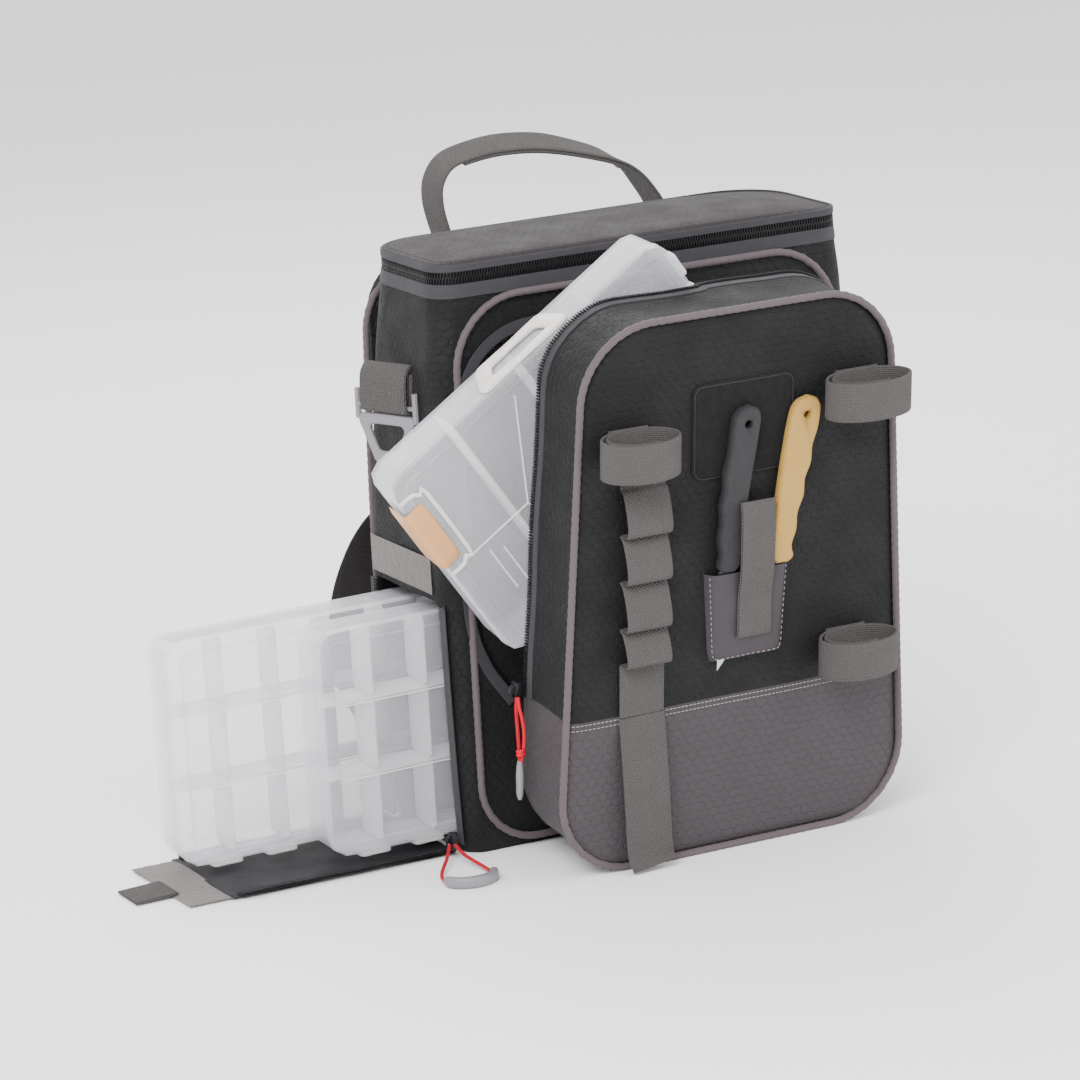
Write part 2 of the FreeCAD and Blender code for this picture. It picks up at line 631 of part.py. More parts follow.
for feature in document.Objects:
    if "Invalid" in feature.State or "Error" in feature.State:
        raise RuntimeError(f"{feature.Label} failed: {feature.State}")
labels = [feature.Label for feature in sub_parts]
if len(set(labels)) != len(labels):
    raise RuntimeError("two sub-parts share a label")
os.makedirs("parts", exist_ok=True)
for feature in sub_parts:
    shape = feature.Shape
    if shape.isNull() or not shape.isValid() or shape.Volume < 1:
        raise RuntimeError(f"{feature.Label} has no valid solid")
for feature in sub_parts:
    feature.Shape.exportStep(os.path.join("parts", feature.Label + ".step"))
print(f"{len(sub_parts)} sub-parts written")
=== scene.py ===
# %% [markdown]
# # A tackle backpack standing open
# The object is a soft fishing backpack with three clear storage trays, a tool pocket that leans
# forward, and a folded-down side door. A CAD model gives its sizes and its moving bodies. This
# lesson builds the cloth, webbing, zips and plastic that are seen, round that frame.

# %% Load the frame
import math

import bmesh
import bpy
import numpy as np
from mathutils import Matrix, Vector


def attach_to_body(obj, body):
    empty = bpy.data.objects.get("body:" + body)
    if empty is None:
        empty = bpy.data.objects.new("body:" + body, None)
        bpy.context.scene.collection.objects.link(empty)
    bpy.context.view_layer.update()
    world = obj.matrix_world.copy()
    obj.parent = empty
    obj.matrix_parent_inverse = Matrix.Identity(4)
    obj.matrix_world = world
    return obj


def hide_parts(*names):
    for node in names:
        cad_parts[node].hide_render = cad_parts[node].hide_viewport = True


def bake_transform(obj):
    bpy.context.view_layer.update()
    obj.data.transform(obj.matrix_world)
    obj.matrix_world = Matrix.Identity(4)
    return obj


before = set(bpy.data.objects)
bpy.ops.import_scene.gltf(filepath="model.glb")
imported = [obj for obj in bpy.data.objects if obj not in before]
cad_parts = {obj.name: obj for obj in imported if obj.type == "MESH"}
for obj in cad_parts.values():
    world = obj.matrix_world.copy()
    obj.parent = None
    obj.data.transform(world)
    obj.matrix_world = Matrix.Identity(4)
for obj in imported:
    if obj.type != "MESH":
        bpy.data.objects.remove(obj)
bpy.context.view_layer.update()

# %% [markdown]
# ## Sizes and frames
# Lengths are written in millimetres, as on a drawing, and turned into metres when a mesh is made.
# HALF_W and HALF_D are half the body's width and depth, and ZIP is the height of the lid's zip.
# Leaning parts have a frame of their own: a 3 by 3 rotation and an origin, so that a pocket or a
# tray can be drawn as if it stood upright.

# %% Sizes and frames
MM = 0.001
HALF_W, HALF_D, ZIP = 177.0, 70.0, 445.0
FRONT, LEFT, REAR = -HALF_D, -HALF_W, 62.0


def turn(axis, degrees):
    """The 3 by 3 rotation about x, y or z."""
    return np.array(Matrix.Rotation(math.radians(degrees), 3, axis))


def place(points, rotation, origin):
    """Row points carried from a part's own frame to the bag's."""
    return np.asarray(points, float) @ rotation.T + np.asarray(origin, float)


POCKET_LEAN, WEDGE_TURN = 6.3, -35.4
POCKET = (turn("X", POCKET_LEAN), (-3, -172, 3))
WEDGE = (turn("X", 7.3) @ turn("Y", WEDGE_TURN), (-152, -120, 164))
SIDE_TRAY = turn("Z", 1.4) @ turn("Y", -0.3)
TRAYS = {"rear_tray": (LEFT - 201, 3.5, 10), "near_tray": (LEFT - 99, -43, 10)}
print("pocket leans", POCKET_LEAN, "degrees; the wedged tray is turned", -WEDGE_TURN)

# %% [markdown]
# ## Camera
# The camera is made first. It is a long lens far away, so that upright edges stay nearly parallel.
# Its axes are worked out from a yaw, a pitch and a small roll.

# %% Camera
YAW, PITCH, ROLL = (math.radians(a) for a in (27.1, 14.1, -3.2))
back = np.array([-math.sin(YAW) * math.cos(PITCH), -math.cos(YAW) * math.cos(PITCH), math.sin(PITCH)])
level = np.array([math.cos(YAW), -math.sin(YAW), 0])
above = np.cross(back, level)
across = level * math.cos(ROLL) + above * math.sin(ROLL)
upward = -level * math.sin(ROLL) + above * math.cos(ROLL)
camera = bpy.data.objects.new("camera", bpy.data.cameras.new("camera"))
bpy.context.collection.objects.link(camera)
camera.data.sensor_width = 36
camera.data.lens = 162.2
camera.data.clip_end = 30
spot = (np.array([0, 0, 200]) - 58.5 * across + 5.2 * upward + 3784.2 * back) * MM
camera.matrix_world = Matrix([[*row, at] for row, at in zip(np.stack([across, upward, back], 1), spot)]
                             + [[0, 0, 0, 1]])
bpy.context.scene.camera = camera
print("camera at", np.round(spot, 3), "m")

# %% [markdown]
# ## Shader helpers and groups
# Cloth shows its weave, so each cloth has a pattern in real millimetres, read from the UV map of
# the piece. The patterns are node groups, built once and placed in each material: hexagon ripstop
# cells, woven threads, and a mottle that varies a colour. A group puts out masks and heights only.
# The woven threads' Shade mask is painted shade: it darkens the colour in the valleys between threads.


# %% Node helpers
def srgb(red, green, blue):
    """A colour picked on screen, 0 to 255, as the linear values that shaders want."""
    screen = np.array([red, green, blue]) / 255
    return (*np.where(screen <= 0.04045, screen / 12.92, ((screen + 0.055) / 1.055) ** 2.4), 1)


def put(tree, kind, *inputs, **settings):
    """Add a node, set its properties, then feed its inputs in order with sockets or numbers."""
    node = tree.nodes.new(kind)
    for name, setting in settings.items():
        setattr(node, name, setting)
    for socket, given in zip([s for s in node.inputs if s.enabled], inputs):
        if isinstance(given, bpy.types.NodeSocket):
            tree.links.new(given, socket)
        elif given is not None:
            socket.default_value = given
    return node


def calc(tree, operation, *inputs):
    """One Math node's result."""
    return put(tree, "ShaderNodeMath", *inputs, operation=operation).outputs[0]


def vcalc(tree, operation, *inputs):
    """One Vector Math node's result, which is a number for LENGTH and DOT_PRODUCT."""
    node = put(tree, "ShaderNodeVectorMath", *inputs, operation=operation)
    return node.outputs["Value" if operation in ("LENGTH", "DOT_PRODUCT") else "Vector"]


def ramp(tree, value, low, high, to_low=0.0, to_high=1.0):
    """Smoothly map a value from low..high to to_low..to_high."""
    node = put(tree, "ShaderNodeMapRange", value, low, high, to_low, to_high,
               interpolation_type="SMOOTHSTEP")
    return node.outputs[0]


def new_group(name, inputs, outputs):
    """A shader node group with named sockets: (name, kind, default)."""
    tree = bpy.data.node_groups.new(name, "ShaderNodeTree")
    for label, kind, default in inputs:
        socket = tree.interface.new_socket(name=label, in_out="INPUT", socket_type=kind)
        if default is not None:
            socket.default_value = default
    for label, kind in outputs:
        tree.interface.new_socket(name=label, in_out="OUTPUT", socket_type=kind)
    return tree, tree.nodes.new("NodeGroupInput").outputs, tree.nodes.new("NodeGroupOutput").inputs


# %% Pattern groups
FLOAT, VECTOR, COLOUR = "NodeSocketFloat", "NodeSocketVector", "NodeSocketColor"

# ripstop: the distance to a hexagon's edge, from the nearer of two interleaved cell centres
hexagons, given, result = new_group(
    "hexagon ripstop", [("Vector", VECTOR, None), ("Cell", FLOAT, 0.0090)],
    [("Line", FLOAT), ("Height", FLOAT)])
step = (1.0, 1.732, 1.0)
half = (0.5, 0.866, 0.5)
point = vcalc(hexagons, "DIVIDE", given["Vector"],
              put(hexagons, "ShaderNodeCombineXYZ", given["Cell"],
                  calc(hexagons, "MULTIPLY", given["Cell"], 0.82), 1.0).outputs[0])
wobble = put(hexagons, "ShaderNodeTexNoise", given["Vector"], 40.0, 1.0)
point = vcalc(hexagons, "ADD", point, vcalc(hexagons, "SCALE", wobble.outputs["Color"], None, None, 0.10))
minus = (-0.5, -0.866, -0.5)
first = vcalc(hexagons, "WRAP", point, half, minus)
second = vcalc(hexagons, "WRAP", vcalc(hexagons, "SUBTRACT", point, half), half, minus)
nearer = calc(hexagons, "LESS_THAN", vcalc(hexagons, "LENGTH", vcalc(hexagons, "MULTIPLY", first, (1, 1, 0))),
              vcalc(hexagons, "LENGTH", vcalc(hexagons, "MULTIPLY", second, (1, 1, 0))))
choice = put(hexagons, "ShaderNodeMix", data_type="VECTOR")
hexagons.links.new(nearer, choice.inputs[0])
hexagons.links.new(second, choice.inputs[4])
hexagons.links.new(first, choice.inputs[5])
centred = vcalc(hexagons, "ABSOLUTE", choice.outputs[1])
apart = put(hexagons, "ShaderNodeSeparateXYZ", centred).outputs[0]
reach = calc(hexagons, "MAXIMUM", apart, vcalc(hexagons, "DOT_PRODUCT", centred, (0.5, 0.866, 0)))
line = ramp(hexagons, reach, 0.40, 0.49)
threads = put(hexagons, "ShaderNodeTexNoise", given["Vector"], 1600.0, 2.0).outputs[0]
hexagons.links.new(line, result["Line"])
hexagons.links.new(calc(hexagons, "ADD", calc(hexagons, "MULTIPLY", line, -0.8),
                        calc(hexagons, "MULTIPLY", threads, 0.35)), result["Height"])

# woven tape: ribs along the length crossed by picks, each a sine of its place
weave, given, result = new_group(
    "woven threads", [("Vector", VECTOR, None), ("Rib", FLOAT, 0.0016), ("Pick", FLOAT, 0.0011)],
    [("Shade", FLOAT), ("Height", FLOAT)])
axes = put(weave, "ShaderNodeSeparateXYZ", given["Vector"]).outputs
rib = calc(weave, "SINE", calc(weave, "DIVIDE", axes[1], calc(weave, "DIVIDE", given["Rib"], 2 * math.pi)))
shift = calc(weave, "MULTIPLY", calc(weave, "SIGN", rib), math.pi / 2)
pick = calc(weave, "SINE", calc(weave, "ADD", shift,
            calc(weave, "DIVIDE", axes[0], calc(weave, "DIVIDE", given["Pick"], 2 * math.pi))))
height = calc(weave, "ADD", calc(weave, "MULTIPLY", calc(weave, "ABSOLUTE", rib), 0.5),
              calc(weave, "MULTIPLY", pick, 0.5))
weave.links.new(height, result["Height"])
# Shade is low in the valleys between the threads. It is painted shade, which darkens the tape's colour there
weave.links.new(ramp(weave, height, -0.5, 1.0), result["Shade"])

# mottle: two noises that vary a colour's lightness, coarse for dye and fine for fibres
mottle, given, result = new_group(
    "mottled tone", [("Vector", VECTOR, None), ("Colour", COLOUR, (0.5, 0.5, 0.5, 1)),
                     ("Amount", FLOAT, 0.2), ("Scale", FLOAT, 60.0), ("Darken", FLOAT, 0.0)],
    [("Colour", COLOUR), ("Grain", FLOAT)])
coarse = put(mottle, "ShaderNodeTexNoise", given["Vector"], given["Scale"], 3.0).outputs[0]
fine = put(mottle, "ShaderNodeTexNoise", given["Vector"],
           calc(mottle, "MULTIPLY", given["Scale"], 14.0), 2.0).outputs[0]
both = calc(mottle, "ADD", calc(mottle, "MULTIPLY", coarse, 0.6), calc(mottle, "MULTIPLY", fine, 0.4))
swing = calc(mottle, "MULTIPLY", calc(mottle, "SUBTRACT", both, 0.5),
             calc(mottle, "MULTIPLY", given["Amount"], 4.0))
# Darken lowers the colour: by the ripstop's grid lines, a woven pattern, or by the weave's painted shade in
# its valleys
gain = calc(mottle, "MULTIPLY", calc(mottle, "ADD", swing, 1.0),
            calc(mottle, "SUBTRACT", 1.0, given["Darken"]))
mottle.links.new(vcalc(mottle, "SCALE", given["Colour"], None, None, gain), result["Colour"])
mottle.links.new(both, result["Grain"])
print("pattern groups:", [g.name for g in (hexagons, weave, mottle)])

# %% [markdown]
# ## Materials
# Every finish is one Principled shader. The maker below takes the colour, the roughness and the
# pattern: ripstop, webbing, pile or plain grain. Clear trays are milky: thin walls let some light
# through, and more is lost where a wall is seen edge-on.


# %% Materials
def finish(name, colour, rough=0.6, pattern="grain", amount=0.15, scale=60, bump=0.2, depth=0.0004,
           sizes=(0.0016, 0.0011), sheen=0.0, coat=0.0, metallic=0.0, object_space=False, line_gain=0.0):
    """A material with one Principled shader and a pattern that feeds colour and bump."""
    material = bpy.data.materials.new(name)
    material.use_nodes = True
    tree = material.node_tree
    shader = tree.nodes["Principled BSDF"]
    shader.inputs["Roughness"].default_value = rough
    shader.inputs["Sheen Weight"].default_value = sheen
    shader.inputs["Sheen Roughness"].default_value = 0.4
    shader.inputs["Specular IOR Level"].default_value = 0.5 if object_space else 0.25
    shader.inputs["Coat Weight"].default_value = coat
    shader.inputs["Metallic"].default_value = metallic
    source = put(tree, "ShaderNodeTexCoord").outputs["Object" if object_space else "UV"]
    tone = put(tree, "ShaderNodeGroup", node_tree=mottle)
    tone.inputs["Colour"].default_value = colour
    tone.inputs["Amount"].default_value = amount
    tone.inputs["Scale"].default_value = scale
    tree.links.new(source, tone.inputs["Vector"])
    raised = tone.outputs["Grain"]
    if pattern in ("ripstop", "webbing"):
        weaving = put(tree, "ShaderNodeGroup", node_tree=hexagons if pattern == "ripstop" else weave)
        tree.links.new(source, weaving.inputs["Vector"])
        raised = weaving.outputs["Height"]
        if pattern == "ripstop":
            tree.links.new(calc(tree, "MULTIPLY", weaving.outputs["Line"], line_gain), tone.inputs["Darken"])
        else:
            weaving.inputs["Rib"].default_value, weaving.inputs["Pick"].default_value = sizes
            # webbing darkens its colour in the weave's valleys: painted shade between the threads
            tree.links.new(calc(tree, "MULTIPLY", calc(tree, "SUBTRACT", 1.0, weaving.outputs["Shade"]),
                                0.9), tone.inputs["Darken"])
    tree.links.new(tone.outputs["Colour"], shader.inputs["Base Color"])
    tree.links.new(ramp(tree, tone.outputs["Grain"], 0.3, 0.7, rough * 0.85, min(rough * 1.15, 1)),
                   shader.inputs["Roughness"])
    knock = put(tree, "ShaderNodeBump")
    knock.inputs["Strength"].default_value = bump
    knock.inputs["Distance"].default_value = depth
    tree.links.new(raised, knock.inputs["Height"])
    tree.links.new(knock.outputs[0], shader.inputs["Normal"])
    return material


BLACK = finish("black_ripstop", srgb(17, 17, 18), 0.72, "ripstop", 0.14, 30, 0.9, 0.0007, sheen=0.02,
               line_gain=0.55)
MAUVE = finish("grey_ripstop", srgb(62, 57, 60), 0.66, "ripstop", 0.10, 30, 0.9, 0.0006, sheen=0.02,
               line_gain=-0.22)
LID_CLOTH = finish("lid_ripstop", srgb(46, 42, 44), 0.7, "ripstop", 0.12, 30, 0.9, 0.0006, line_gain=0.3)
LINING = finish("lining", srgb(28, 28, 31), 0.55, "webbing", 0.12, 40, 0.3, 0.0002, (0.0009, 0.0009))
MESH = finish("mesh", srgb(24, 24, 26), 0.85, "webbing", 0.15, 40, 1.0, 0.0009, (0.0034, 0.0034), 0.1)
PIPING = finish("piping", srgb(88, 78, 82), 0.7, "webbing", 0.12, 120, 0.5, 0.0003, (0.0012, 0.0008), 0.1)
TAPE = finish("zip_tape", srgb(54, 52, 56), 0.75, "webbing", 0.12, 80, 0.6, 0.0003, (0.0014, 0.0010), 0.05)
DARK_TAPE = finish("dark_zip_tape", srgb(26, 26, 28), 0.75, "webbing", 0.12, 80, 0.6, 0.0003,
                   (0.0014, 0.0010))
COIL = finish("zip_chain", srgb(22, 22, 24), 0.38, "grain", 0.12, 200, 0.15, 0.0001)
PILE = finish("loop_tape", srgb(100, 92, 89), 0.95, "grain", 0.55, 130, 1.0, 0.0016, sheen=0.35)
BLACK_PILE = finish("black_loop", srgb(10, 10, 10), 0.95, "grain", 0.5, 150, 1.0, 0.0014, sheen=0.15)
WEBBING = finish("webbing", srgb(78, 75, 74), 0.8, "webbing", 0.12, 60, 1.0, 0.0008, (0.0034, 0.0023), 0.02)
DARK_WEBBING = finish("dark_webbing", srgb(50, 46, 48), 0.8, "webbing", 0.12, 60, 0.9, 0.0005,
                      (0.0024, 0.0015))
SHEATH = finish("sheath", srgb(58, 53, 57), 0.6, "grain", 0.18, 90, 0.4, 0.0004)
THREAD = finish("stitch_thread", srgb(140, 136, 136), 0.6, "grain", 0.1, 300, 0.3, 0.0001)
GREY_THREAD = finish("grey_stitch_thread", srgb(56, 54, 54), 0.6, "grain", 0.1, 300, 0.3, 0.0001)
GREY_PLASTIC = finish("grey_plastic", srgb(124, 121, 126), 0.42, "grain", 0.06, 200, 0.15, 0.0002,
                      object_space=True)
METAL = finish("slider_metal", srgb(40, 40, 43), 0.35, "grain", 0.12, 150, 0.1, 0.0001, metallic=0.6,
               object_space=True)
RED = finish("red_cord", srgb(206, 14, 40), 0.5, "webbing", 0.10, 200, 0.7, 0.0003, (0.0011, 0.0014))
TAN_PLASTIC = finish("tan_plastic", srgb(205, 148, 96), 0.4, "grain", 0.07, 60, 0.1, 0.0002,
                     object_space=True)
BEIGE_PLASTIC = finish("beige_plastic", srgb(226, 219, 212), 0.4, "grain", 0.04, 60, 0.1, 0.0002,
                       object_space=True)
KNIFE_BLACK = finish("knife_black", srgb(30, 29, 33), 0.6, "grain", 0.2, 190, 1.0, 0.0022, object_space=True)
KNIFE_TAN = finish("knife_tan", srgb(188, 148, 70), 0.6, "grain", 0.14, 190, 1.0, 0.0022, object_space=True)
STEEL = finish("steel", srgb(190, 190, 194), 0.3, "grain", 0.08, 120, 0.1, 0.0001, metallic=1.0,
               object_space=True)


def clear_finish(name, colour, facing, edge, rough):
    """Milky thin plastic: its opacity rises from `facing` seen square on to `edge` seen edge-on."""
    material = finish(name, colour, rough, "grain", 0.03, 20, 0.12, 0.0003, object_space=True)
    tree = material.node_tree
    slant = put(tree, "ShaderNodeLayerWeight", 0.35).outputs["Facing"]
    tree.links.new(ramp(tree, slant, 0.0, 0.9, facing, edge), tree.nodes["Principled BSDF"].inputs["Alpha"])
    return material


CLEAR = clear_finish("clear_plastic", srgb(240, 241, 246), 0.13, 0.62, 0.2)
RIB = clear_finish("clear_rib", srgb(250, 250, 253), 0.42, 0.85, 0.22)
print(len(bpy.data.materials), "materials")

# %% [markdown]
# ## Shape helpers
# A surface is an array of points, rows by columns. `surface` turns it into a closed mesh piece.
# Straps, piping and tubes are one profile carried along a path: at each path point stand two unit
# vectors, one across and one out of the strap, and the profile is written in them. Zip teeth and
# stitches are one tiny shape repeated at points along a path.


# %% Mesh makers
def add_piece(name, points, faces, material, uv=None, smooth=35):
    """Make a piece from millimetre points, with faces outward and a UV map in metres."""
    mesh = bpy.data.meshes.new(name)
    mesh.from_pydata((np.asarray(points, float).reshape(-1, 3) * MM).tolist(), [],
                     [list(map(int, f)) for f in faces])
    piece = bpy.data.objects.new(name, mesh)
    bpy.context.collection.objects.link(piece)
    layer = mesh.uv_layers.new(name="cloth")
    corner = np.empty(len(mesh.loops), int)
    mesh.loops.foreach_get("vertex_index", corner)
    flat = np.asarray(uv, float).reshape(-1, 2) * MM if uv is not None else None
    if flat is None:
        spots = np.asarray(points, float).reshape(-1, 3) * MM
        flat = spots[:, [0, 2]] + spots[:, [1]] * np.array([[0.6, 0.0]])
    layer.data.foreach_set("uv", flat[corner].ravel().astype(np.float32))
    shape = bmesh.new()
    shape.from_mesh(mesh)
    bmesh.ops.recalc_face_normals(shape, faces=shape.faces)
    shape.to_mesh(mesh)
    shape.free()
    for one in np.atleast_1d(material):
        mesh.materials.append(one)
    mesh.polygons.foreach_set("use_smooth", np.ones(len(mesh.polygons), bool))
    mesh.set_sharp_from_angle(angle=math.radians(smooth))
    return piece


def join(name, pieces):
    """One piece from several, keeping each one's faces and materials."""
    bpy.ops.object.select_all(action="DESELECT")
    for piece in pieces:
        piece.select_set(True)
    bpy.context.view_layer.objects.active = pieces[0]
    bpy.ops.object.join()
    pieces[0].name = name
    pieces[0].data.name = name
    return pieces[0]


def grid_faces(rows, cols, wrap=False, flip=False, start=0):
    """Quads of a rows by cols grid; wrap joins the last column to the first."""
    across_count = cols if wrap else cols - 1
    i, j = np.meshgrid(np.arange(rows - 1), np.arange(across_count), indexing="ij")
    right = (j + 1) % cols
    quads = np.stack([i * cols + j, i * cols + right, (i + 1) * cols + right, (i + 1) * cols + j], -1)
    quads = quads.reshape(-1, 4) + start
    return quads[:, ::-1] if flip else quads


def loft(name, rings, material, caps=(True, True), ring=False, uv=None, smooth=35):
    """Closed rings (rings, around, 3) joined in order; caps close the ends, ring joins last to first."""
    rings = np.asarray(rings, float)
    count, around = rings.shape[:2]
    faces = list(grid_faces(count, around, wrap=True))
    if ring:
        last = np.arange(around) + (count - 1) * around
        first = np.arange(around)
        faces += list(np.stack([last, np.roll(last, -1), np.roll(first, -1), first], -1))
    else:
        faces += [list(range(around))[::-1]] * caps[0]
        faces += [list(range((count - 1) * around, count * around))] * caps[1]
    return add_piece(name, rings, faces, material, uv, smooth)


def unit(vectors):
    """Vectors scaled to length one."""
    return vectors / np.maximum(np.linalg.norm(vectors, axis=-1, keepdims=True), 1e-9)


def run_along(path):
    """Distance from the start of a path to each of its points."""
    return np.concatenate([[0], np.cumsum(np.linalg.norm(np.diff(path, axis=0), axis=1))])


def normals_of(grid):
    """Unit normals of a grid of points: the cross product of its two slopes."""
    return unit(np.cross(np.gradient(grid, axis=1), np.gradient(grid, axis=0)))


def sheet(name, grid, thick, material, uv, outward=1.0, edge_round=True):
    """A cloth sheet of a thickness on a grid: the grid and its copy pushed along its normals, rimmed."""
    rows, cols = grid.shape[:2]
    push = normals_of(grid) * thick * outward
    if edge_round:
        fade = np.minimum.outer(np.minimum(np.arange(rows), np.arange(rows)[::-1]),
                                np.minimum(np.arange(cols), np.arange(cols)[::-1])).clip(0, 1)[..., None]
        push = push * (0.35 + 0.65 * fade)
    points = np.concatenate([(grid + push).reshape(-1, 3), grid.reshape(-1, 3)])
    order = np.arange(rows * cols).reshape(rows, cols)
    rim = np.concatenate([order[0], order[1:, -1], order[-1, -2::-1], order[-2:0:-1, 0]])
    far = rim + rows * cols
    faces = [*grid_faces(rows, cols), *grid_faces(rows, cols, flip=True, start=rows * cols),
             *np.stack([rim, far, np.roll(far, -1), np.roll(rim, -1)], -1)]
    return add_piece(name, points, faces, material, np.concatenate([uv.reshape(-1, 2)] * 2))


# %% Path helpers
def smooth_path(points, step=3.0, closed=False):
    """A curve through points (Catmull-Rom), resampled at even steps."""
    knots = np.asarray(points, float)
    padded = (np.concatenate([knots[-1:], knots, knots[:2]]) if closed else
              np.concatenate([2 * knots[:1] - knots[1:2], knots, 2 * knots[-1:] - knots[-2:-1]]))
    a, b, c, d = padded[:-3, None], padded[1:-2, None], padded[2:-1, None], padded[3:, None]
    t = np.linspace(0, 1, 24, endpoint=False)[None, :, None]
    curve = 0.5 * (2 * b + (c - a) * t + (2 * a - 5 * b + 4 * c - d) * t ** 2
                   + (3 * b - a - 3 * c + d) * t ** 3)
    curve = curve.reshape(-1, knots.shape[1])
    if not closed:
        curve = np.concatenate([curve, knots[-1:]])
    return resample(curve, step, closed)


def resample(curve, step, closed=False, count=None):
    """The same polyline with points at even distances."""
    line_points = np.concatenate([curve, curve[:1]]) if closed else curve
    run = run_along(line_points)
    number = count or max(int(round(run[-1] / step)), 3) + (0 if closed else 1)
    at = np.linspace(0, run[-1], number, endpoint=not closed)
    return np.stack([np.interp(at, run, axis) for axis in line_points.T], 1)


def rounded(corners, radii, count=None, step=3.0):
    """A closed outline: each corner of a polygon turned into an arc, then resampled evenly."""
    corners = np.asarray(corners, float)
    radii = np.broadcast_to(radii, len(corners))
    pieces = []
    for corner, before, after, radius in zip(corners, np.roll(corners, 1, 0), np.roll(corners, -1, 0), radii):
        to_before, to_after = unit(before - corner), unit(after - corner)
        half_angle = math.acos(float(np.clip(to_before @ to_after, -1, 1))) / 2
        centre = corner + unit(to_before + to_after) * radius / math.sin(half_angle)
        start = corner + to_before * radius / math.tan(half_angle)
        end = corner + to_after * radius / math.tan(half_angle)
        t = np.linspace(0, 1, 9)[:, None]
        chord = unit((1 - t) * (start - centre) + t * (end - centre))
        pieces.append(centre + chord * radius)
    return resample(np.concatenate(pieces), step, True, count)


def to_3d(outline, plane, level):
    """Flat (a, b) points as (x, y, z): plane 'xz' stands at a depth, 'xy' lies at a height."""
    a, b = outline.T
    fixed = np.broadcast_to(level, a.shape)
    return np.stack([a, fixed, b] if plane == "xz" else [a, b, fixed], 1)


def frames(path, across_hint, closed=False):
    """Tangent, across and outward unit vectors at each path point. One hint serves the whole path,
    and a row of hints is spread evenly over it."""
    ahead = np.roll(path, -1, 0) - np.roll(path, 1, 0) if closed else np.gradient(path, axis=0)
    tangent = unit(ahead)
    hint = np.atleast_2d(np.asarray(across_hint, float))
    at = np.linspace(0, len(hint) - 1, len(path))
    side = np.stack([np.interp(at, np.arange(len(hint)), axis) for axis in hint.T], 1)
    side = unit(side - (side * tangent).sum(1, keepdims=True) * tangent)
    return tangent, side, np.cross(side, tangent)


def sweep(name, path, profile, across_hint, material, closed=False, swell=None, smooth=35):
    """A closed profile (points across, out) carried along a path; swell scales it point by point."""
    _, side, out = frames(path, across_hint, closed)
    shape = np.broadcast_to(profile, (len(path), *profile.shape)) if swell is None else profile * swell
    rings = path[:, None] + side[:, None] * shape[..., :1] + out[:, None] * shape[..., 1:]
    uv = np.stack(np.broadcast_arrays(run_along(path)[:, None], run_along(profile)[None]), -1)
    return loft(name, rings, material, ring=closed, uv=uv, smooth=smooth)


def strap_profile(width, thick):
    """A strap's section: flat faces and round selvedges."""
    w, t = width / 2, thick / 2
    top = [(x, t) for x in np.linspace(-w + t, w - t, 7)]
    right = [(w - t * 0.3, t * 0.7), (w, 0), (w - t * 0.3, -t * 0.7)]
    return np.array(top + right + [(-x, -y) for x, y in top] + [(-x, -y) for x, y in right])


def round_profile(radius, sides=12):
    """A circle."""
    angle = np.linspace(0, 2 * math.pi, sides, endpoint=False)
    return radius * np.stack([np.cos(angle), np.sin(angle)], 1)


def rope(name, path, radius, across_hint, material, closed=True, pitch=7.0, strands=2, sides=12):
    """Corded piping: a tube whose radius swells in two strands that wind along it."""
    run = np.arange(len(path)) * np.linalg.norm(path[1] - path[0])
    angle = np.linspace(0, 2 * math.pi, sides, endpoint=False)
    wind = strands * angle[None] + 2 * math.pi * run[:, None] / pitch
    swell = (1 - 0.13 * (0.5 + 0.5 * np.cos(wind)) ** 3)[..., None]
    return sweep(name, path, round_profile(radius, sides), across_hint, material, closed, swell, smooth=60)


def repeat(name, base, faces, centres, axes, material):
    """Copies of a tiny shape: its points written in the three axes at each centre."""
    points = centres[:, None] + np.einsum("vk,nkc->nvc", base, axes)
    count = len(base)
    every = np.asarray(faces)[None] + np.arange(len(centres))[:, None, None] * count
    return add_piece(name, points, every.reshape(-1, len(faces[0])), material, smooth=50)


angles = np.linspace(0, 2 * math.pi, 6, endpoint=False)
BEAD = np.array([(s * 0.5, r * 0.5 * math.cos(a), r * 0.5 * math.sin(a))
                 for s, r in ((-1, 0.55), (-0.55, 1), (0.55, 1), (1, 0.55)) for a in angles])
BEAD_FACES = [list(f) for f in grid_faces(4, 6, wrap=True)]
BEAD_ENDS = [[0, 5, 4, 3], [0, 3, 2, 1], [18, 19, 20, 21], [18, 21, 22, 23]]


def beads(name, path, size, pitch, hint, material, closed=False):
    """Six-sided beads laid end to end along a path: size is their length, width and height."""
    spots = resample(path, pitch, closed)
    tangent, side, out = frames(spots, hint, closed)
    axes = np.stack([tangent * size[0], side * size[1], out * size[2]], 1)
    return repeat(name, BEAD, BEAD_FACES + BEAD_ENDS, spots, axes, material)


STITCH = (2.5, 0.75, 0.6)


def stitches(name, path, hint, material=THREAD, pitch=3.4, lift=0.0, closed=False):
    """A row of thread stitches that lie along a path on cloth, lifted off it by a height."""
    _, _, out = frames(path, hint, closed)
    return beads(name, path + out * lift, STITCH, pitch, hint, material, closed)


